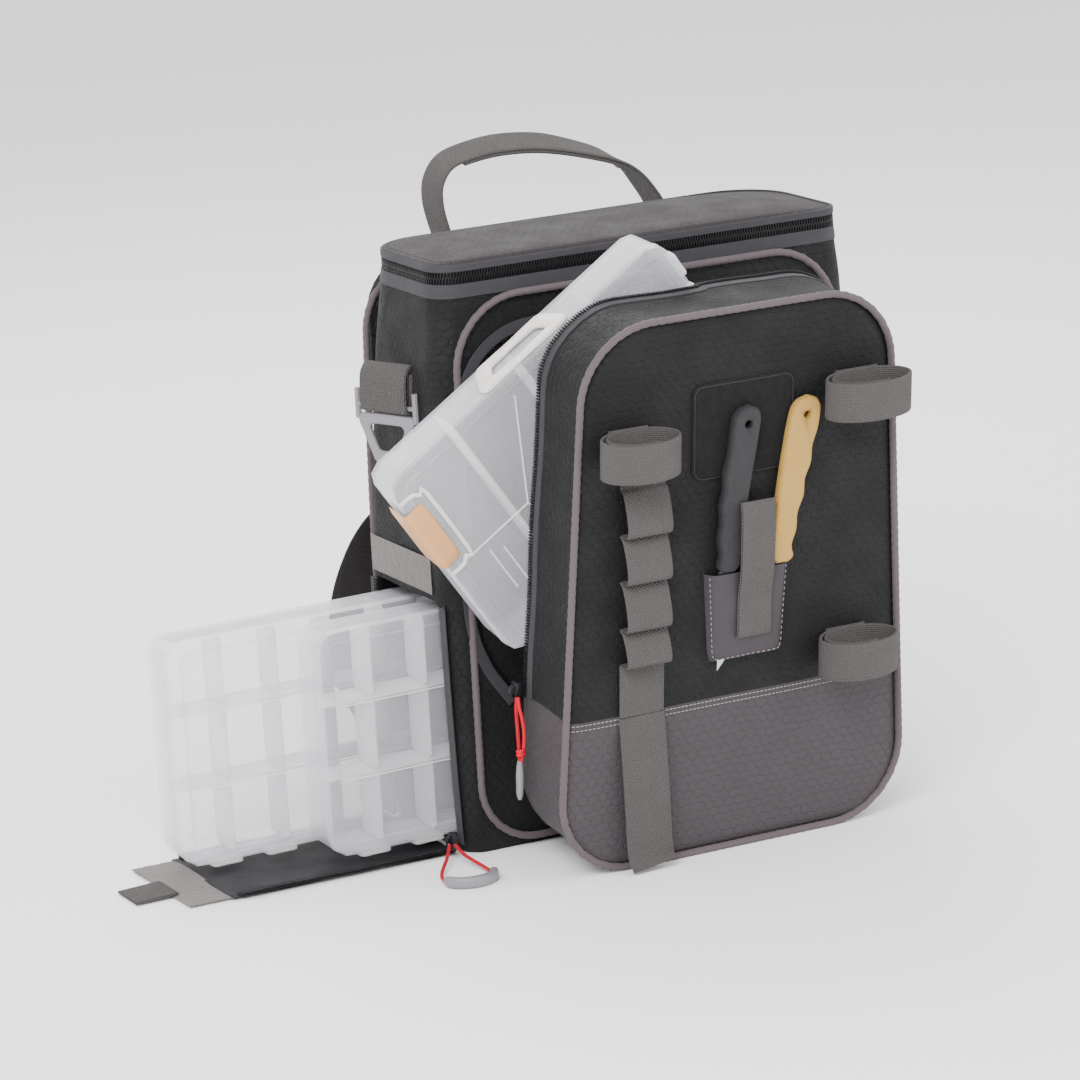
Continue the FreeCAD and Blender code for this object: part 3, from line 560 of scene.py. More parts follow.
def coil(name, path, hint, halves=(-1, 1), width=5.4, pitch=2.3, closed=False, rise=2.6):
    """Zip coil: rows of beads across the path, one row each side of its middle line."""
    spots = resample(path, pitch / 2, closed)
    tangent, side, out = frames(spots, hint, closed)
    rows = []
    for row, direction in enumerate(halves):
        pick_rows = slice(row % 2, None, 2)
        centre = (spots + side * direction * (width / 2 - 1.1))[pick_rows]
        axes = np.stack([side * width, tangent * pitch * 0.62, out * rise], 1)[pick_rows]
        rows.append(repeat(f"{name}_{row}", BEAD, BEAD_FACES + BEAD_ENDS, centre, axes, COIL))
    return join(name, rows) if len(rows) > 1 else rows[0]


def attach(piece, body, *nodes, slot=None):
    """Ride a piece on a body and hide the CAD nodes that it stands for. The slot is not used."""
    if body:
        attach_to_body(piece, body)
    if nodes:
        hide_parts(*nodes)
    return piece


print("shape helpers ready")

# %% [markdown]
# ## The bag's body
# The body is a soft box. Its plan is a rounded rectangle, and the walls bulge a little halfway up
# and draw in at the rim. One shell is lofted from these plans, and the quads of the tray opening
# are left out of its left wall before the cloth gets its thickness.

# %% Body plan
SIDE_STEPS, ARC_STEPS = 26, 8


def wall_bulge(share):
    """How far a side wall stands out at a share of its height: a sine, less a drawing in at the rim."""
    return 4.5 * np.sin(math.pi * share) - 3.0 * np.clip((share - 0.8) / 0.2, 0, 1) ** 2


def body_plan(z, grow=0.0):
    """Plan outlines (levels, around, 3): sides in SIDE_STEPS steps and corners in ARC_STEPS, from
    the left wall's rear end, forwards, round the front and back. Walls bulge by a sine of height."""
    z = np.atleast_1d(np.asarray(z, float))
    share = np.clip(z / ZIP, 0, 1)
    bulge = wall_bulge(share)
    foot = 3.0 * np.clip(1 - z / 14, 0, 1) ** 2
    left, right = LEFT - bulge - grow + foot, HALF_W + bulge + grow - foot
    front, rear = FRONT - grow + foot, REAR + grow - foot - 5.0 * share ** 3
    front_r = 14 + 6 * share ** 2 + grow + foot
    rear_r = 12 + 34 * np.clip((share - 0.45) / 0.55, 0, 1) ** 1.5 + grow + foot
    quarter = np.linspace(0, math.pi / 2, ARC_STEPS + 1)
    corners = [(left, front, front_r, math.pi), (right, front, front_r, 1.5 * math.pi),
               (right, rear, rear_r, 0.0), (left, rear, rear_r, 0.5 * math.pi)]
    arcs = []
    for x, y, radius, start in corners:
        centre_x = x + radius * (1 if x is left else -1)
        centre_y = y + radius * (1 if y is front else -1)
        angle = start + quarter
        arcs.append(np.stack([centre_x[:, None] + radius[:, None] * np.cos(angle),
                              centre_y[:, None] + radius[:, None] * np.sin(angle)], -1))
    t = np.linspace(0, 1, SIDE_STEPS + 1)[None, 1:-1, None]
    rings = []
    for before, after in zip([arcs[3], arcs[0], arcs[1], arcs[2]], arcs):
        rings += [before[:, -1:] * (1 - t) + after[:, :1] * t, after]
    plan = np.concatenate(rings, 1)
    return np.concatenate([plan, np.broadcast_to(z[:, None, None], (*plan.shape[:2], 1))], -1)


def left_wall(y, z, proud=0.0):
    """Points on the left wall at (y, z), standing `proud` of it."""
    z = np.asarray(z, float)
    return np.stack(np.broadcast_arrays(LEFT - wall_bulge(z / ZIP) - proud, y, z), -1)


# %% Body shell
levels = np.array([0, 1.5, 4, 8, 14, 22, 32, *np.linspace(45, 185, 15), 197, 205,
                   *np.linspace(220, 420, 21), 431, 438.0])
plan = body_plan(levels)
rows, around = plan.shape[:2]
wrinkle = 0.7 * np.sin(plan[..., 2] / 17 + plan[..., 0] / 29) * np.sin(plan[..., 2] / 41 + plan[..., 1] / 13)
ends = np.clip(np.minimum(plan[..., 2] / 40, (ZIP - plan[..., 2]) / 40), 0, 1)
outward = unit(plan[..., :2])
side_run = np.linalg.norm(np.diff(plan[20], axis=0, append=plan[20, :1]), axis=1)
uv = np.stack(np.broadcast_arrays(np.cumsum(side_run)[None], plan[..., 2]), -1)
outer = plan + np.concatenate([outward * (wrinkle * ends)[..., None], np.zeros((rows, around, 1))], -1)
inner = body_plan(np.clip(levels, 3.5, None), grow=-3.0)
quads = grid_faces(rows, around, wrap=True)
middle = outer.reshape(-1, 3)[quads].mean(1)
opening = (middle[:, 0] < LEFT + 9) & (middle[:, 1] > FRONT + 9) & (middle[:, 1] < REAR - 4)
opening &= (middle[:, 2] > 8) & (middle[:, 2] < 197)
kept = quads[~opening]
total = rows * around
# an edge used by one kept quad only is a rim: it gets a quad across the cloth's thickness
sides = np.stack([kept, np.roll(kept, -1, 1)], -1).reshape(-1, 2)
key = np.sort(sides, 1) @ [total, 1]
_, place_in, count = np.unique(key, return_index=True, return_counts=True)
rim = sides[place_in[count == 1]]
rim = rim[~np.all(rim < around, 1)]
rims = np.stack([rim[:, 1], rim[:, 0], rim[:, 0] + total, rim[:, 1] + total], -1)
floor_outer, floor_inner = list(range(around)), list(range(total, total + around))
faces = [*kept, *(kept[:, ::-1] + total), *rims, floor_outer[::-1], floor_inner]
shell = add_piece("body_cloth", np.concatenate([outer.reshape(-1, 3), inner.reshape(-1, 3)]), faces,
                  [BLACK, LINING], np.concatenate([uv.reshape(-1, 2)] * 2))
inside = np.zeros(len(faces), np.int32)
inside[len(kept):2 * len(kept)] = 1
inside[-1] = 1
shell.data.polygons.foreach_set("material_index", inside)
attach(shell, "bag", "base_panel", "front_panel", "left_upper_panel", "opening_strips", "right_panel",
       slot="black_ripstop")
print("body cloth:", len(faces), "faces,", int(opening.sum()), "left out for the tray opening")

# %% [markdown]
# The rim of the body is a grey woven tape, and a flat panel closes the back. The shelf over the
# tray bay keeps its CAD shape and only gets the lining's finish.

# %% Rim tape, back panel and shelf
tape_plan = body_plan([430, 431, 435, 439.5, 440.3], grow=1.0)
tape_inner = body_plan([440.3, 435, 431, 430], grow=-1.0)
rim_tape = loft("rim_tape_cloth", np.concatenate([tape_plan, tape_inner]), TAPE, ring=True)
attach(rim_tape, "bag", "rim_tape", slot="zip_tape")
edge_line = body_plan([431.5], grow=1.0)[0]
attach(stitches("rim_stitches", edge_line, (0, 0, 1), GREY_THREAD, lift=0.2, closed=True), "bag",
       slot="zip_tape")
back_outline = rounded([(-168, 6), (168, 6), (168, 440), (-168, 440)], [30, 30, 42, 42], 160)
shrink = [(0.975, 62), (1.0, 63), (1.0, 68.5), (0.985, 70.0), (0.94, 70.6)]
back_rings = [to_3d((back_outline - [0, 223]) * s + [0, 223], "xz", y) for s, y in shrink]
back_panel = loft("back_cloth", back_rings, BLACK)
attach(back_panel, "bag", "back_panel", slot="black_ripstop")
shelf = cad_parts["bay_shelf"]
shelf.data.materials.clear()
shelf.data.materials.append(LINING)
print("rim tape and back panel made")

# %% [markdown]
# ## Corded piping
# The front and back panels are edged with a twisted grey-pink cord. The cord is a tube carried
# along the panel's rounded outline, with its radius drawn in along two winding strands.

# %% Body piping
front_cord = rounded([(-163.5, 7), (163.5, 7), (163.5, 428), (-163.5, 428)], [46, 46, 54, 54], step=1.4)
front_path = to_3d(front_cord, "xz", FRONT - 2.2)
attach(rope("front_piping_cord", front_path, 2.9, (0, 1, 0), PIPING), "bag", "front_piping", slot="piping")
rear_cord = rounded([(-174, 8), (174, 8), (170, 436), (-170, 436)], [30, 30, 50, 50], step=1.6)
rear_depth = np.interp(rear_cord[:, 1], [0, 250, 440], [REAR + 2, REAR + 2, REAR + 1])
rear_x = rear_cord[:, 0] * (1 + 0.022 * np.sin(np.clip(rear_cord[:, 1] / ZIP, 0, 1) * math.pi))
rear_path = np.stack([rear_x, rear_depth, rear_cord[:, 1]], 1)
attach(rope("back_piping_cord", rear_path, 2.8, (0, 1, 0), PIPING), "bag", "back_piping", slot="piping")
print("piping points:", len(front_path), len(rear_path))


# %% [markdown]
# ## Zips
# Each open zip half is a woven tape with one row of coil along its edge. The tape and the coil
# follow the same path. The front of the bag carries the half that the pocket once closed on.

# %% Bag-side zips
def zip_half(name, path, hint, tape_width, coil_side, body, nodes=()):
    """A tape beside a path and a row of coil on it. hint points across the tape, away from the coil,
    and coil_side is 1 or -1: the face of the tape that the coil stands on."""
    _, side, out = frames(path, hint)
    middle_line = path + side * tape_width / 2
    tape = sweep(name + "_tape", middle_line, strap_profile(tape_width, 1.1), hint, TAPE)
    teeth = coil(name + "_coil", path - side * 0.6 + out * coil_side, hint, halves=(0,), width=5.2)
    attach(tape, body, slot="zip_tape")
    attach(teeth, body, *nodes, slot="zip_chain")


chain_outline = smooth_path([(-129, 118), (-150, 150), (-160, 186), (-161, 250), (-160, 320), (-152, 366),
                             (-128, 392), (-90, 400), (0, 400), (90, 398), (128, 390), (152, 364), (160, 320),
                             (161, 250), (160, 186), (150, 150), (129, 118)], 2.0)
chain_path = to_3d(chain_outline, "xz", FRONT - 2.4)
inward = np.stack([-np.gradient(chain_outline[:, 1]), np.zeros(len(chain_outline)),
                   np.gradient(chain_outline[:, 0])], 1)
zip_half("front_zip", chain_path, unit(inward), 9, 1, "bag")
for edge, hint, tag in ((-57.5, (0, -1, 0), "near"), (55, (0, 1, 0), "far")):
    heights = np.arange(9.0, 196.0, 2.0)
    line_path = left_wall(np.full(len(heights), edge), heights, 1.2 if edge < 0 else 1.0)
    zip_half(f"side_zip_{tag}", line_path, hint, 9 if edge < 0 else 6, -1 if edge < 0 else 1, "bag",
             nodes=("side_zip_halves",) if edge < 0 else ())
print("bag zips made")

# %% [markdown]
# ## Patch over the tray opening
# The fuzzy patch is loop tape. It lies on the wall's bulge, so its grid reads the wall's own
# function. Small random-looking bumps come from sines, which give the same patch on each run.


# %% Loop patches
def pile(grid, amount=0.5):
    """A fuzzy surface: points pushed along the normals by crossed sines of several lengths."""
    i, j = np.indices(grid.shape[:2])
    bumps = np.sin(i * 2.1 + 3 * np.sin(j * 0.9)) * np.sin(j * 2.3 + 2 * np.sin(i * 0.7))
    return grid + normals_of(grid) * bumps[..., None] * amount * 0.5


y, z = np.meshgrid(np.linspace(56, -46, 96), np.linspace(202, 230, 28))
patch_grid = pile(left_wall(y, z, 1.2))
side_patch = sheet("side_loop_cloth", patch_grid, 1.2, PILE, np.stack([y, z], -1), outward=-1)
attach(side_patch, "bag", "side_loop_patch", slot="loop_tape")
print("side patch", len(side_patch.data.polygons), "faces")

# %% [markdown]
# ## Lid
# The lid is a low dome on a zip band. Its rings are the body's own plan drawn towards the middle,
# and the height falls off to the rear, where the lid is sewn to the back. Below it runs the zip
# coil, closed all the way round, with its slider.

# %% Lid dome, tape and zip
rim_plan = body_plan([ZIP])[0]
middle_point = np.array([0.0, -4.0, 0.0])


def lid_ring(share, height, grow=0.0):
    """The rim plan drawn towards its middle by a share, at a height that falls to the rear."""
    ring = middle_point + (rim_plan - middle_point) * [share, share, 0] + [0, 0, height]
    drop = 3.4 * np.clip((ring[:, 1] + 10) / 70, 0, 1) ** 2
    drop = drop + 3.5 * np.clip((ring[:, 0] - 40) / 140, 0, 1) ** 2
    ring[:, 2] -= drop * np.clip((height - 451) / 8, 0, 1)
    out = unit((ring - middle_point) * [1, 1, 0])
    return ring + out * grow


shares = np.array([1, 1, 0.998, 0.99, 0.97, 0.94, 0.90, 0.84, 0.76, 0.66, 0.54, 0.40, 0.25, 0.10])
heights = np.array([451, 453.6, 455.4, 456.6, 457.5, 458.2, 458.8, 459.3, 459.7, 460.0, 460.3, 460.5, 460.6,
                    460.7])
dome = np.array([lid_ring(s, h, 1.0) for s, h in zip(shares, heights)])
dome[..., 2] += 0.6 * np.sin(dome[..., 0] / 23) * np.sin(dome[..., 1] / 17) * (heights > 459)[:, None]
under = np.array([lid_ring(s, h - 2.5, -2.0) for s, h in zip(shares[::-1], heights[::-1])])
lid = loft("lid_cloth", np.concatenate([dome[::-1], under[::-1]]), LID_CLOTH,
           uv=np.concatenate([dome[::-1][..., :2], under[::-1][..., :2]]))
attach(lid, "lid", "lid_cover", slot="grey_ripstop")
band = [body_plan([h], grow=g)[0] for h, g in ((449.6, 1.2), (450.2, 1.7), (454.5, 1.7), (455.2, 1.1))]
band_in = [body_plan([h], grow=-1.0)[0] for h in (455.2, 449.6)]
for ring, h in zip(band + band_in, (449.6, 450.2, 454.5, 455.2, 455.2, 449.6)):
    ring[:, 2] = h
lid_band = loft("lid_band_tape", np.array(band + band_in), TAPE, ring=True)
attach(lid_band, "lid", slot="zip_tape")
attach(stitches("lid_stitches", lid_ring(0.975, 457.5, 1.0), (0, 0, 1), GREY_THREAD, lift=0.5, closed=True),
       "lid", slot="grey_ripstop")
zip_ring = body_plan([445.0], grow=0.2)[0]
under_rings = [body_plan([445], grow=g)[0] * [1, 1, 0] + [0, 0, h]
               for g, h in ((-0.6, 440.4), (-0.6, 449.8), (-2.2, 449.8), (-2.2, 440.4))]
under_tape = loft("lid_zip_tape", np.array(under_rings), DARK_TAPE, ring=True)
attach(under_tape, "lid", slot="zip_tape")
lid_chain = coil("lid_zip_coil", resample(zip_ring, 1.0, True), (0, 0, 1), (-1, 1), width=5.6, closed=True)
attach(lid_chain, "lid", "lid_zip_chain", slot="zip_chain")
print("lid:", len(lid.data.polygons), "faces; zip coil:", len(lid_chain.data.polygons))


# %% [markdown]
# ## Sliders
# A zip slider is a small wedge with a bridge over it. It is a loft of rounded sections, wide at
# the front and narrower at the tail, with a bent strip as its bridge.

# %% Sliders
def slider(name, centre, axes, length=15, width=11):
    """A slider at a place: axes are its length, width and outward unit vectors."""
    axes = np.array(axes, float)
    stations = np.array([(-0.5, 0.62, 0.8), (-0.42, 0.78, 1.0), (0, 0.82, 1.0), (0.36, 1.0, 1.0),
                         (0.5, 0.86, 0.8)])
    section = rounded([(-0.5, -0.5), (0.5, -0.5), (0.5, 0.5), (-0.5, 0.5)], 0.2, 20)
    height = 5.2
    rings = [np.stack([np.full(len(section), s * length), section[:, 0] * w * width,
                       section[:, 1] * h * height], 1) for s, w, h in stations]
    body = loft(name + "_body", [r @ axes + centre for r in rings], METAL)
    arch = smooth_path([(-5, 0, 2), (-4, 0, 4.6), (0, 0, 5.6), (4, 0, 4.6), (5, 0, 2)], 1.0) @ axes + centre
    bridge = sweep(name + "_bridge", arch, strap_profile(3.2, 1.2), axes[1], METAL)
    return join(name, [body, bridge])


lid_slide = slider("lid_slider_metal", (HALF_W + 3.5, 36, ZIP), ((0, 1, 0), (0, 0, 1), (1, 0, 0)), 12, 9.5)
tab_outline = rounded([(33.6, ZIP - 37), (38.4, ZIP - 37), (38.4, ZIP - 2), (33.6, ZIP - 2)], 1.8, 24)
tab = loft("lid_slider_tab", [to_3d(tab_outline, "xy", 0)[:, [2, 0, 1]] + [x, 0, 0]
                              for x in (HALF_W + 5.6, HALF_W + 7.4)], METAL)
attach(join("lid_slider_metal", [lid_slide, tab]), "lid_slider", "lid_slider", slot="slider_metal")
print("lid slider made")

# %% [markdown]
# ## Carry handle
# The handle is a loop of 25 mm webbing behind the lid, doubled into a stitched grip at its top.
# Both follow one smooth curve in a frame that leans back.

# %% Carry handle
HANDLE = (turn("X", -10), (0, HALF_D + 1.5, 433))
HANDLE_DEPTH = 12.5
loop = smooth_path([(-86, 0), (-92, 20), (-95, 42), (-92, 58), (-81, 71), (-62, 77), (-32, 80), (4, 77),
                    (40, 67), (64, 57), (80, 44), (94, 23), (104, 0)], 2.0)
route = place(np.stack([loop[:, 0], np.full(len(loop), HANDLE_DEPTH), loop[:, 1]], 1), *HANDLE)
twists = np.array([(-0.25, 0.97, 0), (-0.25, 0.95, 0.15), (-0.1, 0.92, 0.35), (0, 0.9, 0.44), (0, 0.9, 0.44),
                   (-0.1, 0.92, 0.3), (-0.3, 0.95, 0.1), (-0.3, 0.95, 0)])
along = np.linspace(0, 1, len(loop))
across = np.stack([np.interp(along, np.linspace(0, 1, len(twists)), part) for part in twists.T], 1)
handle = sweep("handle_webbing", route, strap_profile(24, 2.8), across, WEBBING)
attach(handle, "handle", "carry_handle", slot="webbing")
grip_part = (loop[:, 1] > 50) & (loop[:, 0] > -70) & (loop[:, 0] < 76)
grip_route = route[grip_part] - place([[0, 0, 3.0]], turn("X", -10), (0, 0, 0))
grip = sweep("handle_grip_webbing", grip_route, strap_profile(22.5, 2.6), across[grip_part], WEBBING)
attach(grip, "handle", "handle_grip", slot="webbing")
_, side, _ = frames(route[grip_part], across[grip_part])
for tag, offset in (("a", 9.2), ("b", -9.2)):
    attach(stitches(f"handle_stitches_{tag}", route[grip_part] + side * offset, across[grip_part],
                    GREY_THREAD, lift=1.6), "handle", slot="webbing")
print("handle length", round(float(np.linalg.norm(np.diff(route, axis=0), axis=1).sum())), "mm")

# %% [markdown]
# ## Strap anchors and buckles
# On each side wall a wide webbing loop turns towards the front and holds a moulded buckle. The
# buckle's frame is a ring between two outlines, with soft edges: the loft runs round its section.


# %% Frame rings and buckles
def frame_ring(name, outer_line, inner_line, depths, soft, material, transform):
    """A flat frame between two outlines with rounded edges, lofted round its own section."""
    low, high = depths
    centre = inner_line.mean(0)

    def pulled(outline, amount):
        """The outline moved towards the frame's centre by an amount."""
        return outline - unit(outline - centre) * amount

    sections = [(pulled(outer_line, soft), low), (outer_line, low + soft), (outer_line, high - soft),
                (pulled(outer_line, soft), high), (pulled(inner_line, -soft), high),
                (inner_line, high - soft), (inner_line, low + soft), (pulled(inner_line, -soft), low)]
    rings = [transform(flat, depth) for flat, depth in sections]
    return loft(name, rings, material, ring=True, smooth=50)


def match(outline, start_at):
    """The outline rolled so that it begins at the point nearest to a direction from its centre."""
    centre = outline.mean(0)
    aim = (outline - centre) @ np.asarray(start_at, float) / np.linalg.norm(outline - centre, axis=1)
    return np.roll(outline, -int(np.argmax(aim)), 0)


BAR_Z, CENTRE_Y, BUCKLE_DEPTH = 344.0, 23.0, 7.5
anchor_bits = []
for side_sign, name in ((-1, "left"), (1, "right")):
    rotation, origin = turn("Z", -side_sign * 24), (side_sign * (HALF_W + 2), -32, 0)
    strap = smooth_path([(2.2, 376), (5.5, 374), (9.6, 368), (10.9, 358), (11.2, 348), (10.3, 341.5),
                         (7.5, 340.2), (4.6, 341.5), (3.6, 348), (3.2, 358), (2.2, 369)], 1.5)
    loop_points = np.stack([side_sign * strap[:, 0], np.full(len(strap), CENTRE_Y), strap[:, 1]], 1)
    anchor_bits.append(sweep(f"anchor_{name}", place(loop_points, rotation, origin), strap_profile(45, 2.0),
                             rotation @ [0, 1, 0], WEBBING))
    outer_line = match(rounded([(-30, 338), (30, 338), (13, 300), (-13, 300)], [5, 5, 5, 5], 72), (-1, 0.3))
    inner_line = match(rounded([(-19, 330), (19, 330), (9, 309), (-9, 309)], [4, 4, 4, 4], 72), (-1, 0.3))

    def stand(flat, depth, rotation=rotation, origin=origin, side_sign=side_sign):
        """Buckle outline points carried to the wall."""
        return place(np.stack([np.full(len(flat), side_sign * depth), flat[:, 0] + CENTRE_Y, flat[:, 1]], 1),
                     rotation, origin)

    bits = [frame_ring(f"{name}_frame", outer_line, inner_line, (5.4, 9.6), 1.0, GREY_PLASTIC, stand)]
    for arm in (-28, 28):
        line_3d = stand(np.array([(arm, h) for h in np.linspace(333, 356, 8)]), BUCKLE_DEPTH)
        bits.append(sweep(f"{name}_arm", line_3d, strap_profile(4.6, 5.0), rotation @ [0, 1, 0],
                          GREY_PLASTIC))
    bar = stand(np.array([(w, BAR_Z) for w in np.linspace(-28, 28, 8)]), BUCKLE_DEPTH)
    bits.append(sweep(f"{name}_bar", bar, round_profile(1.9, 12), (0, 0, 1), GREY_PLASTIC))
    attach(join(f"{name}_buckle_moulding", bits), f"{name}_buckle", f"{name}_buckle", slot="grey_plastic")
attach(join("anchor_webbing", anchor_bits), "bag", "strap_anchors", slot="webbing")
print("anchors and buckles made")

# %% [markdown]
# ## Back: pads and straps
# Padding is a closed, crowned form. The shoulder pads are a fat section carried along a route that
# stands off the back, with a bound edge. The back pad is a rounded plate whose face is crowned
# between sewn channels: its depth is a product of sines across the channels.


# %% Padding
def pad_profile(width, thick, count=24):
    """A crowned pad's section: an oval with its faces flattened by powers of cosine and sine."""
    angle = np.linspace(0, 2 * math.pi, count, endpoint=False)
    x, y = np.cos(angle), np.sin(angle)
    return np.stack([width / 2 * np.sign(x) * np.abs(x) ** 0.75,
                     thick / 2 * np.sign(y) * np.abs(y) ** 0.8], 1)


pads = []
for side_sign in (-1, 1):
    route = smooth_path([(77.5, 400), (90, 396), (103, 376), (113, 330), (117, 270), (115, 205), (110, 177)],
                        4)
    route = np.stack([np.full(len(route), side_sign * 84.0), route[:, 0], route[:, 1]], 1)
    taper = np.interp(np.arange(len(route)), [0, 4, len(route) - 6, len(route) - 1], [0.8, 1, 1, 0.72])
    flat_end = np.interp(np.arange(len(route)), [0, 3, len(route) - 4, len(route) - 1], [0.5, 1, 1, 0.45])
    swell = np.stack([taper, flat_end], -1)[:, None]
    pads.append(sweep(f"shoulder_pad_{side_sign}", route, pad_profile(61, 13.5), (1, 0, 0), MESH,
                      swell=swell))
    _, side, _ = frames(route, (1, 0, 0))
    for offset in (-24, 24):
        pads.append(stitches(f"pad_stitch_{offset}", route + side * offset, (1, 0, 0), GREY_THREAD,
                             lift=-5.4))
shoulder = join("shoulder_padding", pads)
attach(shoulder, "bag", "shoulder_pads", slot="mesh")
u, v = np.meshgrid(np.linspace(-1, 1, 61), np.linspace(-1, 1, 73))
corner_pull = 1 - 0.06 * (np.abs(u) ** 6) * (np.abs(v) ** 6)
x, z = 108 * u * corner_pull, 210 + 148 * v * corner_pull
edge = np.clip(np.minimum(1 - np.abs(u), 1 - np.abs(v)) * 9, 0, 1)
sewn = np.abs(np.sin(u * 1.5 * math.pi)) * np.abs(np.sin((v + 1) * 2 * math.pi))
channels = 0.35 + 0.65 * np.sqrt(sewn)
pad_grid = np.stack([x, 70.5 + 11 * np.sqrt(edge) * (0.55 + 0.45 * channels), z], -1)
pad = sheet("back_padding", pad_grid, 2.0, MESH, np.stack([x, z], -1), outward=1)
attach(pad, "bag", "back_pad", slot="mesh")
right_web = smooth_path([(84, 110, 176), (90, 109, 150), (98, 106, 130), (118, 97, 98), (136, 87, 66),
                         (150, 76, 42)], 3)
webs = [sweep("right_lower_web", right_web, strap_profile(30, 2.0), (1, 0, -0.35), DARK_WEBBING)]
left_web = smooth_path([(-84, 110, 177), (-93, 118, 199), (-113, 122, 216), (-143, 119, 214),
                        (-168, 110, 190), (-183, 100, 150), (-182, 92, 104), (-150, 76, 42)], 3)
left_turns = np.array([(1, 0, 0), (0.7, 0, 0.7), (0.2, 0, 1), (-0.4, 0, 1), (-0.8, 0.2, 0.6),
                       (-1, 0.35, 0.15), (-1, 0.35, -0.1), (-0.8, 0.3, -0.6)])
webs.append(sweep("left_lower_web", left_web, strap_profile(38, 2.2), left_turns, DARK_WEBBING))
attach(join("lower_strap_webbing", webs), "bag", "lower_webbing", slot="webbing")
print("pads and lower straps made")

# %% [markdown]
# ## Side door
# The door is the wall of the tray bay, unzipped and laid on the floor with its lining up. It is a
# lined cloth sheet with soft ripples. A coil runs along both long edges, a fuzzy strip crosses its
# end, and a webbing tab sticks out beyond.

# %% Door
x, y = np.meshgrid(np.linspace(LEFT - 3.6, LEFT - 190, 64), np.linspace(-57, 59, 40))
ripple = 0.9 + 0.8 * np.sin(x / 19 + 0.6 * np.sin(y / 21)) * np.sin(y / 31 + 0.8)
door_grid = np.stack([x, y, 1.2 + np.clip(ripple, 0, 2)], -1)
door = sheet("door_cloth", door_grid, 1.4, LINING, np.stack([x, y], -1), outward=1)
attach(door, "door", "side_door", slot="lining")
for tag, edge_y, hint in (("near", -58.5, (0, 1, 0)), ("far", 58.5, (0, -1, 0))):
    along = np.arange(LEFT - 6, LEFT - 186, -2.0)
    path = np.stack([along, np.full(len(along), edge_y), 3.2 + 0.4 * np.sin(along / 19)], 1)
    tape = sweep(f"door_tape_{tag}", path + np.array(hint) * 4.5, strap_profile(9, 1.0), (0, 1, 0), DARK_TAPE)
    attach(tape, "door", slot="zip_tape")
    teeth = coil(f"door_coil_{tag}", path + [0, 0, 0.9], hint, halves=(0,), width=5.0)
    attach(teeth, "door", slot="zip_chain")
x, y = np.meshgrid(np.linspace(LEFT - 188, LEFT - 224, 36), np.linspace(-54, 56, 100))
strip_grid = pile(np.stack([x, y, 2.0 + 0.7 * np.sin(y / 17)], -1), 0.55)
strip = sheet("door_hook_cloth", strip_grid, 1.3, PILE, np.stack([x, y], -1), outward=1)
attach(strip, "door", "door_hook_strip", slot="loop_tape")
tab_path = smooth_path([(LEFT - 220, -6, 3.0), (LEFT - 232, -6, 2.4), (LEFT - 246, -6, 1.9),
                        (LEFT - 254, -6, 1.6)], 2)
attach(sweep("door_tab_webbing", tab_path, strap_profile(37, 1.9), (0, 1, 0), WEBBING), "door", "door_tab",
       slot="webbing")
print("door made")

# %% [markdown]
# ## Side zip pull
# The slider of the side zip is down at the floor. A red cord loop is tied to it, and a grey rubber
# grip is moulded round the far end of the loop. The cord is a NURBS curve, and the points of its
# route are the curve's control points, so that its bends are round and even.

# %% Side pull
PULL_EYE = np.array([LEFT - 8, FRONT + 2, 12.0])
CORD_RADIUS = 1.4


def cord_curve(name, route_mm, radius, material):
    """A smooth round cord: an open NURBS spline of order 3 with the route as its control points."""
    curve = bpy.data.curves.new(name, "CURVE")
    curve.dimensions = "3D"
    spline = curve.splines.new("NURBS")
    spline.points.add(len(route_mm) - 1)
    spline.points.foreach_set("co", np.column_stack([np.asarray(route_mm) * MM,
                                                     np.ones(len(route_mm))]).ravel())
    spline.order_u = 3
    spline.use_endpoint_u = True
    spline.resolution_u = 10
    curve.bevel_depth = radius * MM
    curve.bevel_resolution = 4
    curve.use_fill_caps = True
    piece = bpy.data.objects.new(name, curve)
    bpy.context.collection.objects.link(piece)
    curve.materials.append(material)
    return piece


loop_route = PULL_EYE + np.array([(-7, -1, 0), (-15, -14, -4), (-27, -29, -7), (-36, -43, -8.6),
                                  (-38, -56, -8.8), (-31, -67, -8.8), (-19, -71, -8.8), (-7, -67, -8.8),
                                  (1, -56, -8.8), (2, -42, -8.6), (0, -28, -7), (-3, -13, -4), (-3, -3, 0)])
side_slide = slider("side_slider_metal", PULL_EYE + [-1, 4.5, 0.5], ((0, 0, 1), (0, 1, 0), (-1, 0, 0)), 13,
                    9.5)
attach(side_slide, "side_slider", "side_slider", slot="slider_metal")
side_cord = cord_curve("side_pull_cord_loop", loop_route, CORD_RADIUS, RED)
grip_x, grip_y, grip_points = PULL_EYE[0] - 18, PULL_EYE[1] - 55, 40
arc = np.linspace(math.pi, 2 * math.pi, grip_points)
grip_line = np.stack([grip_x + 19.5 * np.cos(arc), grip_y + 16 * np.sin(arc), np.full(grip_points, 4.3)], 1)
fat = np.interp(np.arange(grip_points), [0, 3, 20, 36, 39], [0.72, 1.0, 1.12, 1.0, 0.72])[:, None, None]
side_grip = sweep("side_pull_grip_rubber", grip_line, pad_profile(8.4, 6.4, 16), (0, 0, 1), GREY_PLASTIC,
                  swell=fat)
attach(side_grip, "side_pull", "side_pull_grip", slot="grey_plastic")
attach(side_cord, "side_pull", "side_pull_cord", slot="red_cord")
print("side pull made")

# %% [markdown]
# ## Storage trays
# A utility tray is two thin shells of clear plastic, a base and a lid, each lofted from rounded
# rectangles: up the outside, over the rim and down the inside. Thin plates divide it, ridges and a
# raised field stiffen the lid, and small hinge knuckles run along one edge.


